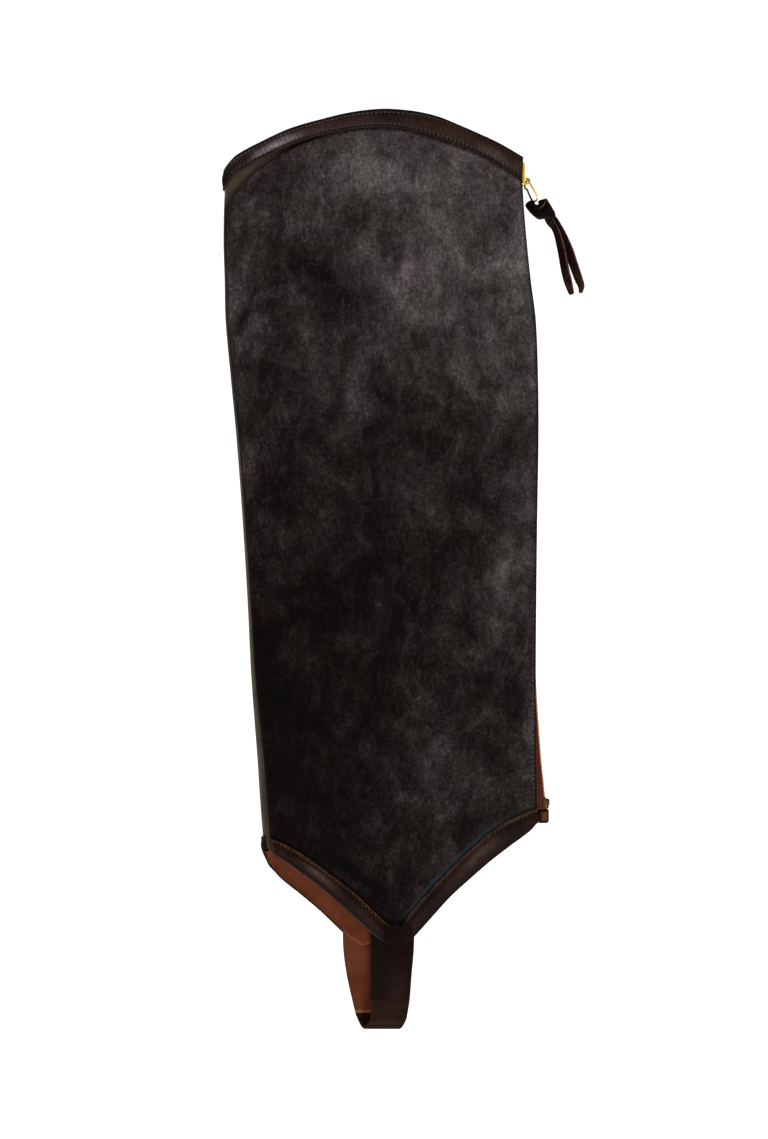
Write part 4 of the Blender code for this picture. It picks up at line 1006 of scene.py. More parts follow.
topBinding = {
    "step": 0.42, "pitch": 2.45, "reach": 0.75, "waver": 0.10, "rawEdge": 0.3, "patches": 0.3, "notch": 1.0,
    "lowerStitch": (1.4, 0.42), "upperStitch": (1.5, 0.4), "endStitch": (1.4, 0.32),  # length, thickness
    "polish": (-87, -74, -68, -50), "highlightShare": 0.95, "highlightBeat": 0.25,  # x where the painted highlight rises and fades
    "farHighlight": (50, 9, 0.2),  # a second painted highlight: x, width, share
    "rows": (  # from the lower edge?, mm from it, needle depth, depth of the gathers beside the row
        (True, 1.35, 0.26, 0.09), (False, -2.0, 0.14, 0.02),
    ),
    "profile": table(  # share of the leg, mm added, height over what it covers, painted shade, painted highlight
        "share add height shade polish",
        (0, 0, 0.05, 1, 0), (0, 0, 0.55, 0.9, 0), (0, 0.15, 0.78, 0.75, 0), (0, 0.5, 0.90, 0.45, 0),
        (0, 0.95, 0.80, 0.35, 0), (0, 1.35, 0.60, 0.35, 0), (0, 1.75, 0.80, 0.3, 0.5),
        (0, 2.3, 1.04, 0.2, 1), (0, 3.0, 1.24, 0.05, 1), (0.42, 0, 1.42, 0, 0.7), (0.54, 0, 1.46, 0, 0.4),
        (0.66, 0, 1.38, 0.12, 0.15), (1, -2.9, 1.12, 0.35, 0), (1, -2.4, 0.96, 0.45, 0),
        (1, -2.0, 0.84, 0.5, 0), (1, -1.6, 0.93, 0.5, 0), (1, -1.1, 0.95, 0.65, 0), (1, -0.6, 0.82, 0.9, 0),
        (1, -0.25, 0.52, 1, 0), (1, -0.05, 0.15, 1, 0),
    ),
}
hemBinding = {
    "step": 0.42, "pitch": 2.4, "reach": 0.75, "waver": 0.12, "rawEdge": 1.0, "patches": 0.45, "notch": 0.7,
    "stitch": (1.15, 0.5), "rows": ((True, -1.6, 0.28, 0.09),),
    "sheen": ((-46, 8, 1.0), (42, 9, 0.7)), "sheenColumn": (9, 1.1, 0.5),  # place, width, share
    # profile: share of the leg, mm added, height over what it covers, painted shade
    "profile": table(
        "share add height shade",
        (0, 0, 0.05, 0.3), (0, 0, 0.6, 0.1), (0, -0.15, 0.8, 0.1), (0, -0.6, 0.9, 0.15),
        (0, -1.1, 0.78, 0.25), (0, -1.6, 0.56, 0.3), (0, -2.0, 0.78, 0.35), (0, -2.6, 1.02, 0.35),
        (0, -3.3, 1.2, 0.2), (0.42, 0, 1.36, 0), (0.56, 0, 1.36, 0.05), (0.72, 0, 1.26, 0.3),
        (1, 1.7, 1.12, 0.6), (1, 1.0, 0.98, 0.75), (1, 0.5, 0.76, 0.9), (1, 0.15, 0.4, 0.9),
    ),
}
rawSteps = (1, 1, 1, 0.75, 0.45, 0.4, 0.35, 0.12)  # how raw the bands' first columns are
farBindingEnd = 4.5
foldLipY = -154.6  # at the fold the facing shows below here


def bandLoops(p, start, edge, out, look, tail):
    share, added, height = (look["profile"][key] for key in ("share", "add", "height"))
    y = start[:, None] + (edge - start)[:, None] * share + added
    run = runLength(place(p, edge, out))[:, None]
    beat = 0.5 + 0.5 * np.cos(2 * np.pi * run / look["pitch"])
    waver = look["waver"] * (np.sin(run / 9.1) + 0.7 * np.sin(run / 4.3 + 1.3))
    waver = waver * np.sin(np.pi * np.clip(height - 0.55, 0, 1))
    w = out[:, None] + height + waver * 0.5
    holesAndGatherShade = np.zeros_like(y)
    for fromStart, where, depth, gather in look["rows"]:
        off = (y - (start if fromStart else edge)[:, None]) - where
        hole = np.exp(-((off / look["reach"]) ** 2)) * beat
        inward = off * (1 if where > 0 else -1)
        w -= depth * hole + gather * beat * np.exp(-(((inward - 1.5) / 1.2) ** 2))
        # painted shade in the gathers beside the row, added to the darker needle holes
        notch = beat**2 * np.exp(-(((inward - 0.9) / 0.75) ** 2))
        holesAndGatherShade = np.maximum(holesAndGatherShade, np.maximum(hole, look["notch"] * notch) * (depth > 0.2))
    rest = [np.stack([edge + dy, level], 1) for dy, level in tail]
    ys = np.concatenate([y] + [r[:, :1] for r in rest], 1)
    ws = np.concatenate([w] + [r[:, 1:] for r in rest], 1)
    plain = np.zeros((len(p), len(tail)))
    raw = np.zeros_like(ys)
    raw[:, :len(rawSteps)] = np.array(rawSteps) * look["rawEdge"]
    # painted shade that comes and goes along the band, breaking the highlights into patches
    patches = look["patches"] * (0.5 + 0.5 * np.sin(run / 13.7) * np.sin(run / 6.1 + 2))
    dark = np.clip(look["profile"]["shade"] + patches * (1 - look["profile"]["shade"]), 0, 1)
    marks = {
        "needleAndGatherShade": np.concatenate([np.clip(holesAndGatherShade, 0, 1), plain], 1), "rawEdge": raw,
        "shade": np.concatenate([dark, plain + 0.6], 1),
    }
    return place(np.repeat(p[:, None], ys.shape[1], 1), ys, ws), marks, run


def makeTopBinding():
    look = topBinding
    farX = np.arange(farEdgeX(225), foldCentre(217), -look["step"] * 1.6)
    foldP = np.linspace(-foldArc, foldArc, 60)[1:-1]
    nearX = np.arange(foldCentre(227), section("zipEdge", 226) + 0.8, look["step"])
    farP, farY = settle(topEdge, farX, -1, 215)
    nearP, nearY = settle(topEdge, nearX, 1, 235)
    p = np.concatenate([farP, foldP, nearP])
    edge = np.concatenate([farY, topEdge(foldP, 222), nearY])
    share = smooth(-foldArc, foldArc, p)
    nearStart = along(topNear, "x", "binding", middle(p, edge)[:, 0])
    start = (edge - farBindingTop) * (1 - share) + nearStart * share
    out, into = overPanels(p, edge) + gap, insidePanels(p, edge) - gap
    tail = [  # over the edge and down the inside: from the edge, height
        (0.0, (out + into) / 2), (-0.1, into - 0.3), (-0.4, into - 0.72), (-0.9, into - 0.98),
        (-2.0, into - 1.1), (-innerLeg + 0.3, into - 1.1), (-innerLeg, into - 0.85),
        (-innerLeg, into - 0.03), (-bindingWall, into - 0.03), (-bindingWall, out + 0.05),
    ]
    points, marks, run = bandLoops(p, start, edge, out, look, tail)
    # painted shade darkening the band's corner round the fold
    marks["shade"] = np.maximum(marks["shade"], 0.9 * (1 - smooth(4.0, 13.0, p))[:, None])
    xs = middle(p, edge)[:, 0]
    # painted highlight: pale streaks along the lower half of the band's left arm, and a faint spot on its
    # right arm
    riseFrom, riseTo, fadeFrom, fadeTo = look["polish"]
    highlighted = smooth(riseFrom, riseTo, xs) * (1 - smooth(fadeFrom, fadeTo, xs)) * (p > foldArc)
    highlighted *= 1.05 + look["highlightBeat"] * np.cos(2 * np.pi * run[:, 0] / look["pitch"])
    spotX, spotWidth, spotShare = look["farHighlight"]
    highlighted += spotShare * np.exp(-(((xs - spotX) / spotWidth) ** 2)) * (p > foldArc)
    columns = np.concatenate([look["profile"]["polish"], np.zeros(len(tail))])
    marks["highlightAndPaleEdge"] = look["highlightShare"] * highlighted[:, None] * columns * (1 - marks["needleAndGatherShade"])
    piece = loft("top_binding_leather", points, darkLeather, marks=marks, slot="dark_leather")
    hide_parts("top_binding")
    lower, upper = look["rows"]
    stitchRow(
        "top_lower_stitches", p, start + lower[1], out + 0.62, look["pitch"], *look["lowerStitch"],
        lowerThread, lift=0.0, start=1.5,
    )
    stitchRow(
        "top_upper_stitches", p, edge + upper[1], out + 0.84, look["pitch"], *look["upperStitch"],
        upperThread, lift=0.08, start=1.5,
    )
    endX = section("zipEdge", 226) - 1.2
    ys = np.linspace(start[-1] + 1.6, edge[-1] - 2.2, 12)
    stitchRow(
        "top_end_stitches", pOf(endX, ys, 1), ys, out[-1] + 1.3, look["pitch"], *look["endStitch"],
        lowerThread,
    )


def makeHemBinding(name, node, p, start, edge, endWear, highlightAndPaleEdge):
    look = hemBinding
    under = overPanels(p, edge)
    out, end = under + gap, under - panelWall
    tail = [(0.0, under + 0.1), (0.0, end + 0.5), (0.35, end), (bindingWall, end), (bindingWall, out)]
    points, marks, run = bandLoops(p, start, edge, out, look, tail)
    marks["rawEdge"] = np.maximum(marks["rawEdge"], np.exp(-((run / 1.8) ** 2)) * endWear)
    lowLine = np.zeros(points.shape[1])  # a painted highlight: the pale line along the rolled edge under the left arm
    profileEnd = len(look["profile"]["share"])
    lowLine[profileEnd - 2:profileEnd + 1] = (0.55, 1, 1)
    xs = middle(p, edge)[:, 0]
    marks["highlightAndPaleEdge"] = highlightAndPaleEdge * lowLine * (smooth(-74, -66, xs) * (1 - smooth(-18, -6, xs)) * (p > 0))[:, None]
    # painted sheen along the middle of the band on both arms
    sheen = sum(most * np.exp(-(((xs - x) / width) ** 2)) for x, width, most in look["sheen"])
    column, spread, share = look["sheenColumn"]
    sheen = share * sheen[:, None] * np.exp(-(((np.arange(points.shape[1]) - column) / spread) ** 2))
    marks["highlightAndPaleEdge"] = np.maximum(marks["highlightAndPaleEdge"], sheen * (p > 0)[:, None])
    piece = loft(name, points, hemLeather, marks=marks, slot="dark_leather")
    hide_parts(node)
    stitchRow(
        node + "_stitches", p, start + look["rows"][0][1], out + 0.6, look["pitch"], *look["stitch"],
        hemThread, lift=0.0, start=1.5,
    )


def makeHemBindings():
    step = hemBinding["step"]

    def nearHem(p, y):
        return along(hemNear, "x", "edge", xOf(p, y))

    foldP = np.arange(section("seam", -150) + gap, foldArc, step)
    armXs = np.arange(foldCentre(-152), section("zipEdge", -137) + 1.0, step * 0.8)
    p, edge = settle(nearHem, armXs, 1, -170)
    p, edge = np.concatenate([foldP, p]), np.concatenate([nearHem(foldP, -153), edge])
    start = along(hemNear, "x", "binding", xOf(p, edge))
    makeHemBinding("hem_binding_near_leather", "hem_binding_near", p, start, edge, 0.75, 0.6)
    armXs = np.arange(farEdgeX(-143) - 0.1, foldCentre(-162), -step * 1.2)
    p, edge = settle(hemEdge, armXs, -1, -180)
    foldP = np.append(np.arange(-foldArc + 0.2, farBindingEnd - 0.1, step), farBindingEnd)
    p, edge = np.concatenate([p, foldP]), np.concatenate([edge, hemEdge(foldP, -160)])
    start = edge + farBindingHem - (farBindingHem - farBindingFold) * smooth(-foldArc, 0.0, p)
    edge = edge + np.maximum(foldLipY - edge, 0) * smooth(-6.5, -2.0, p)
    makeHemBinding("hem_binding_far_leather", "hem_binding_far", p, start, edge, 0, 0)


makeTopBinding()
makeHemBindings()
print("bindings turned over the edges")

# the rust facing inside the lower hem and the patch on the V's tip
hemFacing = {
    "depth": 15.0, "toX": 50.0, "lipTo": 2.2, "lip": 2.2, "lipFrom": (-7.5, -3.0), "scoring": 1.3,
    "lowShade": 0.3, "strapRim": 0.45,
}
strapNear = table(
    "y left right",
    (-186, -17.5, 6.4), (-196, -17.5, 6.4), (-208, -17.5, 6.2), (-222, -17.5, 5), (-236, -17.5, 3.9),
    (-246.4, -17.5, 2.3),
)
strapFar = table(
    "y left right",
    (-190, -33.2, -9.3), (-199, -33.1, -9.2), (-208, -32.9, -9), (-217, -32, -8.4), (-226, -30.6, -7.7),
    (-236, -28.4, -6.8), (-246.4, -25.9, -5.9),
)


def facingLift(p, y):  # it passes over the strap's end and the strip, and curls up at the fold
    left, right = strapFar["left"][0], strapFar["right"][0]
    x = xOf(p, y)
    overStrap = smooth(left - 8, left - 2, x) * (1 - smooth(right + 2, right + 8, x))
    overStrip = smooth(-12.0, stripFarP - 0.7, p)
    curl = hemFacing["lip"] * smooth(*hemFacing["lipFrom"], p) * (1 - smooth(2.5, 6.5, y - hemEdge(p, -158)))
    return -(strapWall + gap) * overStrap - (stripWall + 2 * gap) * overStrip + curl


def makeFacing():
    look = hemFacing
    stops = np.linspace(foldCentre(-162) + 0.5, look["toX"], 60)
    fold = np.linspace(look["lipTo"], -foldArc + 0.3, 12)
    lip = smooth(*look["lipFrom"], fold)
    lowP, lowY = settle(lambda p, y: hemEdge(p, y) + 1.0, stops, -1, -175)
    highP, highY = settle(lambda p, y: hemEdge(p, y) + look["depth"], stops[::-1], -1, -165)
    outline = [*zip(fold, hemEdge(fold, -160) + 1.0 - 0.9 * lip), *zip(lowP, lowY), *zip(highP, highY)]
    outline += [*zip(fold[:3:-1], hemEdge(fold[:3:-1], -150) + look["depth"])]
    outline += [*zip(fold[3::-1], hemEdge(fold[3::-1], -156) + 5.5)]

    def strapWindow(p, y):
        left, right = strapFar["left"][0], strapFar["right"][0]
        return smooth(left - 1, left + 1, xOf(p, y)) * (1 - smooth(right - 1, right + 1, xOf(p, y)))

    def lowShade(p, y):
        beside = (p < -8) * (1 - strapWindow(p, y))
        return look["lowShade"] * smooth(6, 1.5, y - hemEdge(p, -160)) * beside

    def overStrap(p, y):
        return look["strapRim"] * np.exp(-(((y - hemEdge(p, -160) - 1.3) / 0.7) ** 2)) * strapWindow(p, y)

    piece = cutWall(
        "hem_facing_leather", outline, lambda p, y: facingLift(p, y) - bindingWall, facingLift,
        look["scoring"], rustLeather, {"shade": lowShade, "highlightAndPaleEdge": overStrap}, slot="rust_leather",
    )
    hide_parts("hem_facing_far")


patchWall = 0.9
patchOutline = table(
    "x y",
    (-11, -203), (-7.5, -205.6), (-3, -206.6), (1, -205.2), (5, -201.8), (5.4, -195.4), (2.6, -194.2),
    (-0.5, -195.8), (-3.4, -194.4), (-6.4, -196.2), (-9.4, -195),
)


def makePatch():
    level = panelOut + 2 * gap + bindingWall
    outline = [(pOf(x, y, 1), y) for x, y in zip(patchOutline["x"], patchOutline["y"])]
    piece = cutWall(
        "hem_patch_leather", outline, lambda p, y: np.full_like(p, level),
        lambda p, y: np.full_like(p, level + patchWall), 1.0, strapLeather, slot="dark_leather",
    )
    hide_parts("hem_patch")


makeFacing()
makePatch()
print("facing and patch laid")

# the underfoot strap
strap = {
    "hangY": -207.0, "floorFrom": -209.5, "floorTo": -227.0, "middleX": -8.0, "bendY": -246.4,
    "soleNearY": -236.6, "soleFarY": -245.0, "ease": 0.5, "across": 18, "topShade": 0.5,
    "sheen": (0.62, 0.2, 0.06), "highlightAndPaleEdge": (-244.2, 0.7, 0.7),  # where, how wide, how strong
}


def nearStrand(x, y):
    flat = smooth(-strap["hangY"], -strap["soleNearY"], -y)
    return nearZ(x + (strap["middleX"] - x) * flat, np.maximum(y, strap["hangY"]))


def farStrand(x, y):
    return farZ(x, np.maximum(y, strap["hangY"])) * (1 - smooth(-strap["floorFrom"], -strap["floorTo"], -y))


def strandLoops(rows, surface, low, high, ys):
    ys = np.asarray(ys, float)[:, None]
    left, right = along(rows, "y", "left", ys), along(rows, "y", "right", ys)
    width = right - left
    inner = np.linspace(0.06, 0.94, strap["across"])
    share = np.concatenate([[0, 0.006, 0.015, 0.03], inner, [0.97, 0.985, 0.994, 1]])
    x = left + width * share
    distance = np.minimum(share, 1 - share) * width
    roll = 1 - np.clip(distance / strap["ease"], 0, 1)
    drop = strap["ease"] * (1 - np.sqrt(1 - roll**2))
    base = surface(x, ys)
    y = np.broadcast_to(ys, x.shape)
    over = np.stack([x, y, base + high - drop], -1)
    under = np.stack([x, y, base + low + drop], -1)
    raw = np.exp(-((distance / 0.5) ** 2))
    return np.concatenate([over, under[:, ::-1]], 1), np.concatenate([raw, raw[:, ::-1]], 1)


def makeStrap():
    ys = np.append(np.arange(-186, strap["soleNearY"], -1.0), strap["soleNearY"])
    loops, raw = strandLoops(strapNear, nearStrand, -strapWall, 0, ys)
    middleShare, spread, most = strap["sheen"]
    share = np.linspace(0, 1, raw.shape[1] // 2)
    sheen = most * np.exp(-(((share - middleShare) / spread) ** 2)) * (smooth(-212, -226, ys) + 0.35)[:, None]
    sheen = np.concatenate([sheen, 0 * sheen], 1)
    shade = np.repeat((strap["topShade"] * smooth(-204, -190, ys))[:, None], raw.shape[1], 1)
    marks = {"rawEdge": raw, "shade": shade, "highlightAndPaleEdge": sheen}
    piece = loft("strap_near_leather", loops, strapLeather, cap="strip", marks=marks, slot="dark_leather")
    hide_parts("strap_near")
    ys = np.arange(strap["soleFarY"], -190, 1.0)
    loops, raw = strandLoops(strapFar, farStrand, 0, strapWall, ys)
    rimY, spread, most = strap["highlightAndPaleEdge"]
    highlightAndPaleEdge = np.repeat(most * np.exp(-(((ys - rimY) / spread) ** 2))[:, None], raw.shape[1], 1)
    marks = {"rawEdge": raw, "highlightAndPaleEdge": highlightAndPaleEdge}
    piece = loft("strap_far_leather", loops, rustLeather, cap="strip", marks=marks, slot="rust_leather")
    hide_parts("strap_far")
    ys = np.linspace(strap["soleNearY"], strap["bendY"], 9)
    loops, raw = strandLoops(strapNear, nearStrand, -strapWall, 0, ys)
    radius = float(nearStrand(strap["middleX"], strap["bendY"])) / 2
    start = [float(along(strapNear, "y", side, strap["bendY"])) for side in ("left", "right")]
    stop = [float(along(strapFar, "y", side, strap["bendY"])) for side in ("left", "right")]
    flat = loops[-1]
    bent = []
    for share in np.linspace(0, 1, 21)[1:]:
        left, right = (a + (b - a) * share for a, b in zip(start, stop))
        angle, reach = math.pi * share, flat[:, 2] - radius
        x = left + (flat[:, 0] - start[0]) * (right - left) / (start[1] - start[0])
        y, z = strap["bendY"] - reach * math.sin(angle), radius + reach * math.cos(angle)
        bent.append(np.stack([x, y, z], 1))
    last = bent[-1].copy()
    last[:, 0] += float(along(strapFar, "y", "left", strap["soleFarY"])) - stop[0]
    last[:, 1] = strap["soleFarY"]
    loops = np.concatenate([loops, np.array(bent), last[None]])
    marks = {"rawEdge": np.repeat(raw[-1:], len(loops), 0)}
    piece = loft("strap_sole_leather", loops, soleLeather, cap="strip", marks=marks, slot="dark_leather")
    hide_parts("strap_sole")


makeStrap()
print("strap bent round")

# the zip: tapes, teeth, pin, box
zipTape = {
    "low": -131.6, "high": 217.4, "bend": (1.6, 1.7), "drop": 5.3, "farShelf": 2.5, "halfWall": 0.42,
    "underNear": (11.0, 6.0, 2.5), "underFar": (8.0, 4.0, 0.3),  # mm inside the panels' edges
}
zipTeeth = {
    "thick": 2.4, "high": 4.2, "lowY": -126.9, "highY": 218.0, "pitch": 2.3,
    "head": (2.2, 1.0, 1.9), "headOut": 0.1, "root": (2.4, 1.5, 1.5), "rootOut": 1.4,
}
zipFoot = {
    "x": (74.2, 80.6), "y": (-131.2, -125.2), "z": 10.6, "wall": 0.7, "rib": (0.16, 1.25),
    "rightFall": (1.6, 2.2), "topFall": (1.2, 0.25), "taper": (2.5, 1.3),  # over how far, by how much
}
zipCorner = {"size": (2.0, 3.8, 3.4), "at": (80.0, -127.8, 8.6), "bevel": 0.5}
zipBox = {
    "x": (74.3, 80.6), "y": (-139.3, -131.1), "high": 6.8, "bevel": 1.1,
    "faceInset": (2.8, 3.4), "faceThick": 1.6, "faceBevel": 0.5, "faceShift": (0.4, -0.2, -0.3),
}


def teethX(y):
    return section("teeth", y) - zipTeeth["thick"] / 2


def tapePath(y, near):
    bendX, bendZ = zipTape["bend"]
    bendFrom, zTeeth = teethX(y) - bendX, section("teethZ", y)
    side = 1 if near else -1
    if near:
        edge = section("zipEdge", y)
        level = nearZ(edge, y) - tapeWall / 2
        path = [(edge - d, nearZ(edge - d, y) - tapeWall / 2) for d in zipTape["underNear"]]
    else:
        edge = farEdgeX(y)
        level = np.maximum(tapeWall, zTeeth - zipTape["drop"])
        path = [(edge - d, farZ(edge - d, y) + tapeWall / 2) for d in zipTape["underFar"]]
        path.append((edge + zipTape["farShelf"], level))
    for degrees in (0, 15, 30, 45, 60, 75, 90):
        turn = math.radians(degrees)
        path.append((bendFrom + bendX * math.sin(turn), level - side * bendZ * (1 - math.cos(turn))))
    path.append((teethX(y), zTeeth + side * (zipTeeth["high"] / 2 + gap)))
    return path


def makeTapes():
    ys = np.linspace(zipTape["low"], zipTape["high"], 200)
    for name, near in (("zip_tape_near", True), ("zip_tape_far", False)):
        path = [np.broadcast_arrays(x, z) for x, z in tapePath(ys, near)]
        coarse = np.array([[x, z] for x, z in path]).transpose(2, 0, 1)  # rows, points, (x, z)
        fine = []
        for a in range(coarse.shape[1] - 1):
            for share in (0.0, 0.5):
                fine.append(coarse[:, a] * (1 - share) + coarse[:, a + 1] * share)
        fine.append(coarse[:, -1])
        line = np.stack(fine, 1)
        step = np.gradient(line, axis=1)
        step /= np.linalg.norm(step, axis=-1, keepdims=True)
        normal = np.stack([-step[..., 1], step[..., 0]], -1)
        half = tapeWall * zipTape["halfWall"]
        sides = [line + normal * half, (line - normal * half)[:, ::-1]]
        outline = np.concatenate(sides, 1)
        y = np.broadcast_to(ys[:, None], outline.shape[:2])
        loops = np.stack([outline[..., 0], y, outline[..., 1]], -1)
        widths = np.linalg.norm(np.diff(line, axis=1), axis=-1)
        across = np.concatenate([np.zeros((len(ys), 1)), np.cumsum(widths, 1)], 1)
        marks = {"along": y, "across": np.concatenate([across, across[:, ::-1]], 1)}
        piece = loft(name + "_cloth", loops, tapeCloth, cap="strip", marks=marks, slot="zip_tape")
        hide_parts(name)


def boxPoints(size, bevel):  # a block with cut edges: eight corners round, in four levels
    a, b, c = (s / 2 for s in size)
    ring = []
    for z, cut in ((-c, bevel), (-c + bevel, 0), (c - bevel, 0), (c, bevel)):
        x, y = a - cut, b - cut
        right = [(x, -y + bevel, z), (x, y - bevel, z), (x - bevel, y, z), (-x + bevel, y, z)]
        ring.append(right + [(-x, -y, z) for x, y, z in right])
    return np.array(ring)


def makeFoot():  # the tape's end, folded under above the box, with its stiff corner
    (left, right), (low, high), (ribHigh, ribPitch) = zipFoot["x"], zipFoot["y"], zipFoot["rib"]
    xs, ys = np.linspace(left, right, 33), np.linspace(low, high, 13)
    x, y = np.meshgrid(xs, ys)
    rib = ribHigh * np.cos((x - left) * 2 * math.pi / ribPitch)
    (rightWidth, rightFall), (topWidth, topFall) = zipFoot["rightFall"], zipFoot["topFall"]
    z = zipFoot["z"] + rib - rightFall * smooth(right - rightWidth, right, x) ** 2
    z = z - topFall * smooth(high - topWidth, high, y)
    taperFrom, taper = zipFoot["taper"]
    x = x - taper * smooth(low + taperFrom, high, y) * (x - left) / (right - left)
    top = np.stack([x, y, z], -1)
    under = top - (0, 0, zipFoot["wall"])
    marks = {"along": np.concatenate([x, x[:, ::-1]], 1), "across": np.concatenate([y, y[:, ::-1]], 1)}
    loops = np.concatenate([top, under[:, ::-1]], 1)
    loft("zip_tape_fold", loops, foldCloth, cap="strip", marks=marks, slot="zip_tape")
    nub = boxPoints(zipCorner["size"], zipCorner["bevel"]).reshape(-1, 3) + np.array(zipCorner["at"])
    buildMesh("zip_fold_corner", nub, loftFaces(4, 8), darkBrass, slot="zip_metal", sharp=30)


def makeBox():  # a dark retainer box with a raised amber face
    (left, right), (low, high), thick = zipBox["x"], zipBox["y"], zipBox["high"]
    centre = np.array([(left + right) / 2, (low + high) / 2, section("teethZ", -135.0)])
    case = boxPoints((right - left, high - low, thick), zipBox["bevel"]).reshape(-1, 3) + centre
    (insetX, insetY), (shiftX, shiftY, shiftZ) = zipBox["faceInset"], zipBox["faceShift"]
    size = (right - left - insetX, high - low - insetY, zipBox["faceThick"])
    face = boxPoints(size, zipBox["faceBevel"]).reshape(-1, 3)
    face += centre + np.array([shiftX, shiftY, thick / 2 + shiftZ])
    single = loftFaces(4, 8)
    faces = single + [[v + len(case) for v in ring] for ring in single]
    piece = buildMesh(
        "zip_box_block", np.concatenate([case, face]), faces, darkBrass, slot="zip_metal",
        marks={"shade": np.repeat([0.9, 0.0], (len(case), len(face)))}, sharp=30,
    )
    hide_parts("zip_box")


def makeTeeth():
    ys = np.arange(zipTeeth["lowY"] + 0.7, zipTeeth["highY"] - 0.7, zipTeeth["pitch"] / 2)
    head = boxPoints(zipTeeth["head"], 0.22).reshape(-1, 3)
    root = boxPoints(zipTeeth["root"], 0.25).reshape(-1, 3)
    single = loftFaces(4, 8)
    points, faces = [], []
    for k, y in enumerate(ys):
        side = 1 if k % 2 else -1
        centre = np.array([teethX(y), y, section("teethZ", y)])
        for shape, offset in ((head, zipTeeth["headOut"]), (root, zipTeeth["rootOut"])):
            base = sum(len(part) for part in points)
            points.append(shape + centre + np.array([0, 0, side * offset]))
            faces += [[v + base for v in face] for face in single]
    piece = buildMesh("zip_teeth", np.concatenate(points), faces, agedBrass, slot="zip_metal", sharp=30)
    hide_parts("zip_chain")


makeTapes()
makeTeeth()
makeFoot()
makeBox()
for nodeName, metal in (("zip_pin", agedBrass), ("zip_slider", giltMetal)):
    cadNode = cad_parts[nodeName]
    cadNode.data.materials.clear()
    cadNode.data.materials.append(metal)
print("zip closed")

# the pull: a wire ring, a knotted thong and its two tails
pullLook = {"thick": 1.6, "ease": 0.32, "wire": 0.52, "sides": 10}
ringPath = table(  # from the bridge along the upper bar, through the knot and back
    "x y z",
    (68.9, 215.2, 8.6), (69.4, 214.6, 9.7), (70.9, 212.0, 10.1), (72.9, 208.7, 9.9), (74.3, 206.1, 9.2),
    (74.0, 204.5, 7.6), (72.4, 203.7, 6.2), (71.3, 204.9, 5.4), (69.9, 207.9, 5.3), (68.7, 210.6, 5.3),
    (67.6, 211.4, 5.3), (67.5, 213.0, 5.4), (68.2, 214.8, 6.0), (68.6, 215.2, 7.4),
)
tailLeft = table(
    "x y z width tilt",
    (80.6, 194.8, 6.2, 5, -8), (81.8, 192.3, 5.9, 4.5, -14), (83.9, 189.6, 5.5, 3.9, -22),
    (85.8, 185.2, 4.9, 4.1, -30), (87.9, 177, 4, 4.8, -36), (89.7, 167.5, 3.2, 5, -36),
    (91.5, 160.1, 2.6, 4.7, -30), (93.7, 152.8, 2.2, 3, -24),
)
tailRight = table(
    "x y z width tilt",
    (82.9, 195.6, 3.4, 3, -8), (84.2, 193.9, 3.3, 3.6, -10), (85.9, 190.8, 3.2, 3.9, -12),
    (88.2, 186.4, 3.1, 4.3, -16), (91.8, 177.8, 2.8, 5, -20), (94.7, 169.2, 2.5, 5, -20),
    (97.4, 161.6, 2.2, 4.6, -18), (98.9, 157.4, 2, 3.7, -14), (98.5, 153.6, 1.9, 1.8, -12),
)
knotPads = {  # the knot's turns: low side, high side, lean, outline seen from above
    "flap": (2.0, 7.4, 0.0, table(
        "x y",
        (67.9, 202.3), (69.8, 204.1), (72.2, 204.6), (73.1, 202.8), (75.1, 199.8), (77.7, 197.6),
        (78.1, 194.8), (75.1, 194.3), (71.2, 197.2), (68.5, 200.6),
    )),
    "hollow": (2.4, 6.8, 0.0, table(
        "x y",
        (71, 202.1), (73.1, 201.5), (75.5, 203), (75.1, 204.3), (79.2, 205.4), (78.4, 202.8), (76.6, 200.9),
        (74.4, 199.2), (72.2, 200.2),
    )),
    "wrap": (1.6, 8.9, -0.12, table(
        "x y",
        (79.2, 205.6), (81.8, 201.7), (84.3, 197.2), (83.8, 194.8), (81, 194.1), (78.1, 194.4),
        (75.1, 196.8), (72.2, 199.8), (75.1, 200), (77.2, 201.7), (78.4, 203.7),
    )),
}
padLayers = table(  # inset from the outline, height above the low side or below the high side
    "size low high",
    (0.86, 0, 0), (0.96, 0.3, 0), (1, 0.9, 0), (1, 0, -1.0), (0.985, 0, -0.45), (0.95, 0, -0.12),
    (0.86, 0, 0), (0.6, 0, 0.22), (0.3, 0, 0.3),
)


def smoothRows(rows, count, closed=False):  # points on a smooth curve through a table's rows
    keys = [key for key in rows if key != "t"]
    if closed:
        rows = {key: np.concatenate([rows[key][-2:], rows[key], rows[key][:2]]) for key in keys}
    size = len(rows[keys[0]])
    rows = dict(rows, t=np.arange(size, dtype=float))
    t = np.linspace(2, size - 2, count, endpoint=False) if closed else np.linspace(0, size - 1, count)
    return {key: along(rows, "t", key, t) for key in keys}


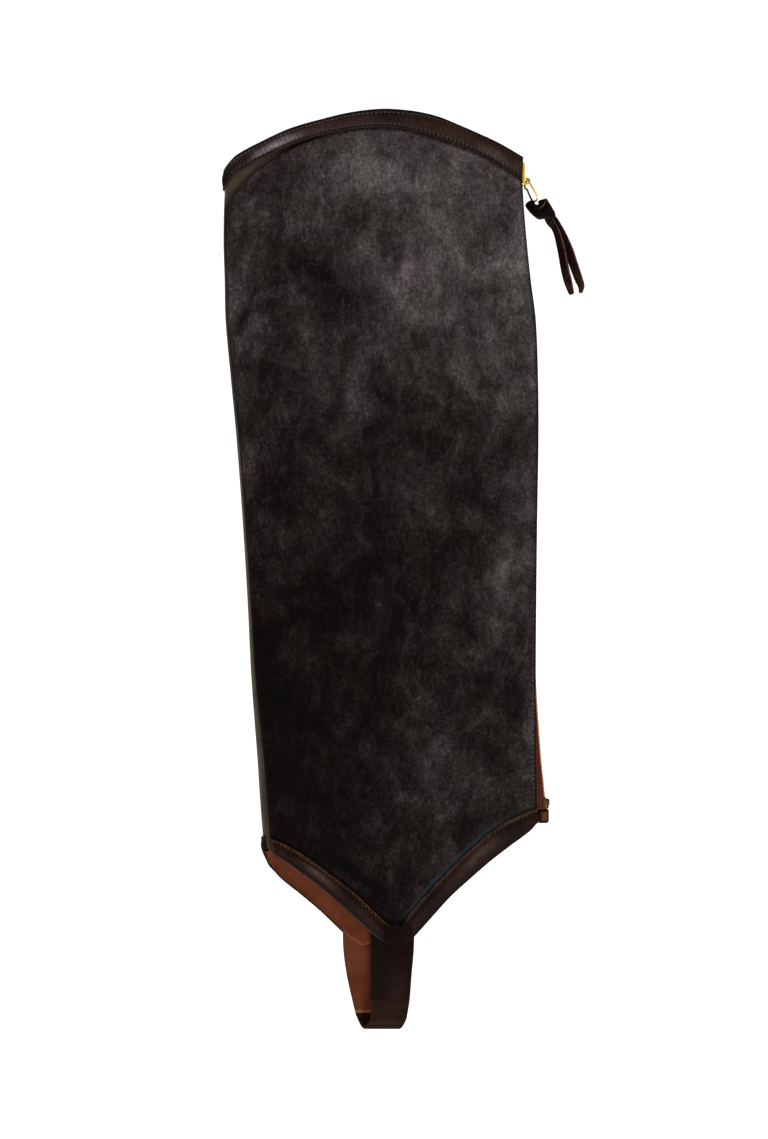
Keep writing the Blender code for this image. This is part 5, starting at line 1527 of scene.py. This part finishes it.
def makeTail(name, node, rows):
    count, ease, half = 60, pullLook["ease"], pullLook["thick"] / 2
    made = smoothRows(rows, count)
    point = np.stack([made[key] for key in ("x", "y", "z")], 1)
    ahead = np.gradient(point, axis=0)
    ahead /= np.linalg.norm(ahead, axis=1, keepdims=True)
    across = np.cross(ahead, [0, 0, 1.0])
    across /= np.linalg.norm(across, axis=1, keepdims=True)
    lift = np.cross(across, ahead)
    tilt = np.radians(made["tilt"])[:, None]
    wide = across * np.cos(tilt) + lift * np.sin(tilt)
    thick = lift * np.cos(tilt) - across * np.sin(tilt)
    width = made["width"][:, None] / 2
    fromEnd = np.minimum(np.arange(count), count - 1 - np.arange(count))
    shrink = np.where(fromEnd == 0, 0.86, np.where(fromEnd == 1, 0.96, 1.0))[:, None]
    outline = []
    for share in np.linspace(1, -1, 11):
        edgeCut = ease * max(0, (abs(share) - 0.75) / 0.25) ** 2
        outline.append((share, half - edgeCut, float(abs(share) > 0.95)))
    outline += [(share, -z, flag) for share, z, flag in outline[::-1]]
    wide, thick = wide * width, thick * shrink
    loops = np.stack([point + wide * share * shrink + thick * z for share, z, flag in outline], 1)
    raw = np.tile([flag for share, z, flag in outline], (count, 1))
    worn = np.repeat((0.12 * smooth(170, 156, made["y"]))[:, None], raw.shape[1], 1)
    marks = {"rawEdge": np.maximum(raw, worn)}
    piece = loft(name, loops, thongLeather, cap="strip", marks=marks, body="pull", slot="dark_leather")
    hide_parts(node)


def makeKnot():
    count, points, faces, raw = 44, [], [], []
    for title, (low, high, lean, rows) in knotPads.items():
        made = smoothRows(rows, count, closed=True)
        outline = np.stack([made["x"], made["y"]], 1)
        centre = outline.mean(0)
        cutEdge = np.zeros(count)
        if title == "wrap":  # its last four points are the strip's cut edge
            cutEdge[int(count * 7 / 11) + 1:] = 1
        base = sum(len(ring) for ring in points)
        for k, (size, up, down) in enumerate(zip(padLayers["size"], padLayers["low"], padLayers["high"])):
            ring = centre + (outline - centre) * size
            z = low + up if k < 3 else high + down
            points.append(np.column_stack([ring, z + lean * (ring[:, 0] - centre[0]) * (k > 2)]))
            raw.append(cutEdge * (0, 0, 0, 1, 1, 1, 0.7, 0, 0)[k])
        faces += [[v + base for v in face] for face in loftFaces(len(padLayers["size"]), count)]
    piece = buildMesh(
        "pull_knot_leather", np.concatenate(points), faces, thongLeather, slot="dark_leather", body="pull",
        marks={"rawEdge": np.concatenate(raw)}, sharp=60,
    )
    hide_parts("pull_knot")


def makeRing():
    made = smoothRows(ringPath, 90, closed=True)
    path = np.stack([made[key] for key in ("x", "y", "z")], 1)
    ahead = np.roll(path, -1, 0) - np.roll(path, 1, 0)
    ahead /= np.linalg.norm(ahead, axis=1, keepdims=True)
    side = np.cross(ahead, path - path.mean(0))
    side /= np.linalg.norm(side, axis=1, keepdims=True)
    up = np.cross(side, ahead)
    turns = np.arange(pullLook["sides"]) * 2 * math.pi / pullLook["sides"]
    hoops = [path + (side * math.cos(t) + up * math.sin(t)) * pullLook["wire"] for t in turns]
    # painted shade: the lower part of the wire darker
    darkAndShaded = np.repeat((1 - smooth(6.5, 8.8, path[:, 2]))[:, None], len(turns), 1)
    piece = loft(
        "pull_ring_wire", np.stack(hoops, 1), giltMetal, closedRing=True, marks={"shade": darkAndShaded}, body="pull",
        slot="gilt_metal",
    )
    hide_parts("pull_ring")


makeTail("pull_tail_left_leather", "pull_tail_left", tailLeft)
makeTail("pull_tail_right_leather", "pull_tail_right", tailRight)
makeKnot()
makeRing()
print("pull tied")

# the table that it lies on
floorLook = {"size": 16000, "drop": 0.3, "colour": (0.35, 0.35, 0.35), "cloudScale": 3.0, "cloud": 0.02}


def makeFloor():
    half = floorLook["size"] * mm / 2
    mesh = bpy.data.meshes.new("floor")
    corners = [(-half, -half, 0), (half, -half, 0), (half, half, 0), (-half, half, 0)]
    mesh.from_pydata(corners, [], [(0, 1, 2, 3)])
    material, tree, shader = newMaterial("tableTop", 0.9, specular=0.1, Emission_Strength=1.0)
    where = add(tree, "ShaderNodeTexCoord").outputs["Object"]
    cloudy = ramp(tree, noise(tree, where, floorLook["cloudScale"], 2), 0.3, 0.7)
    lighter = tuple(c + floorLook["cloud"] for c in floorLook["colour"])
    colour = colourMix(tree, cloudy, floorLook["colour"], lighter)
    tree.links.new(colour, shader.inputs["Base Color"])
    seen = add(tree, "ShaderNodeLightPath").outputs["Is Camera Ray"]
    glow = (studio["floorGlow"],) * 3
    tree.links.new(colourMix(tree, seen, (0, 0, 0), glow), shader.inputs["Emission Color"])
    mesh.materials.append(material)
    floor = bpy.data.objects.new("floor", mesh)
    floor.location.z = -floorLook["drop"] * mm
    bpy.context.scene.collection.objects.link(floor)


makeFloor()
print("floor laid")
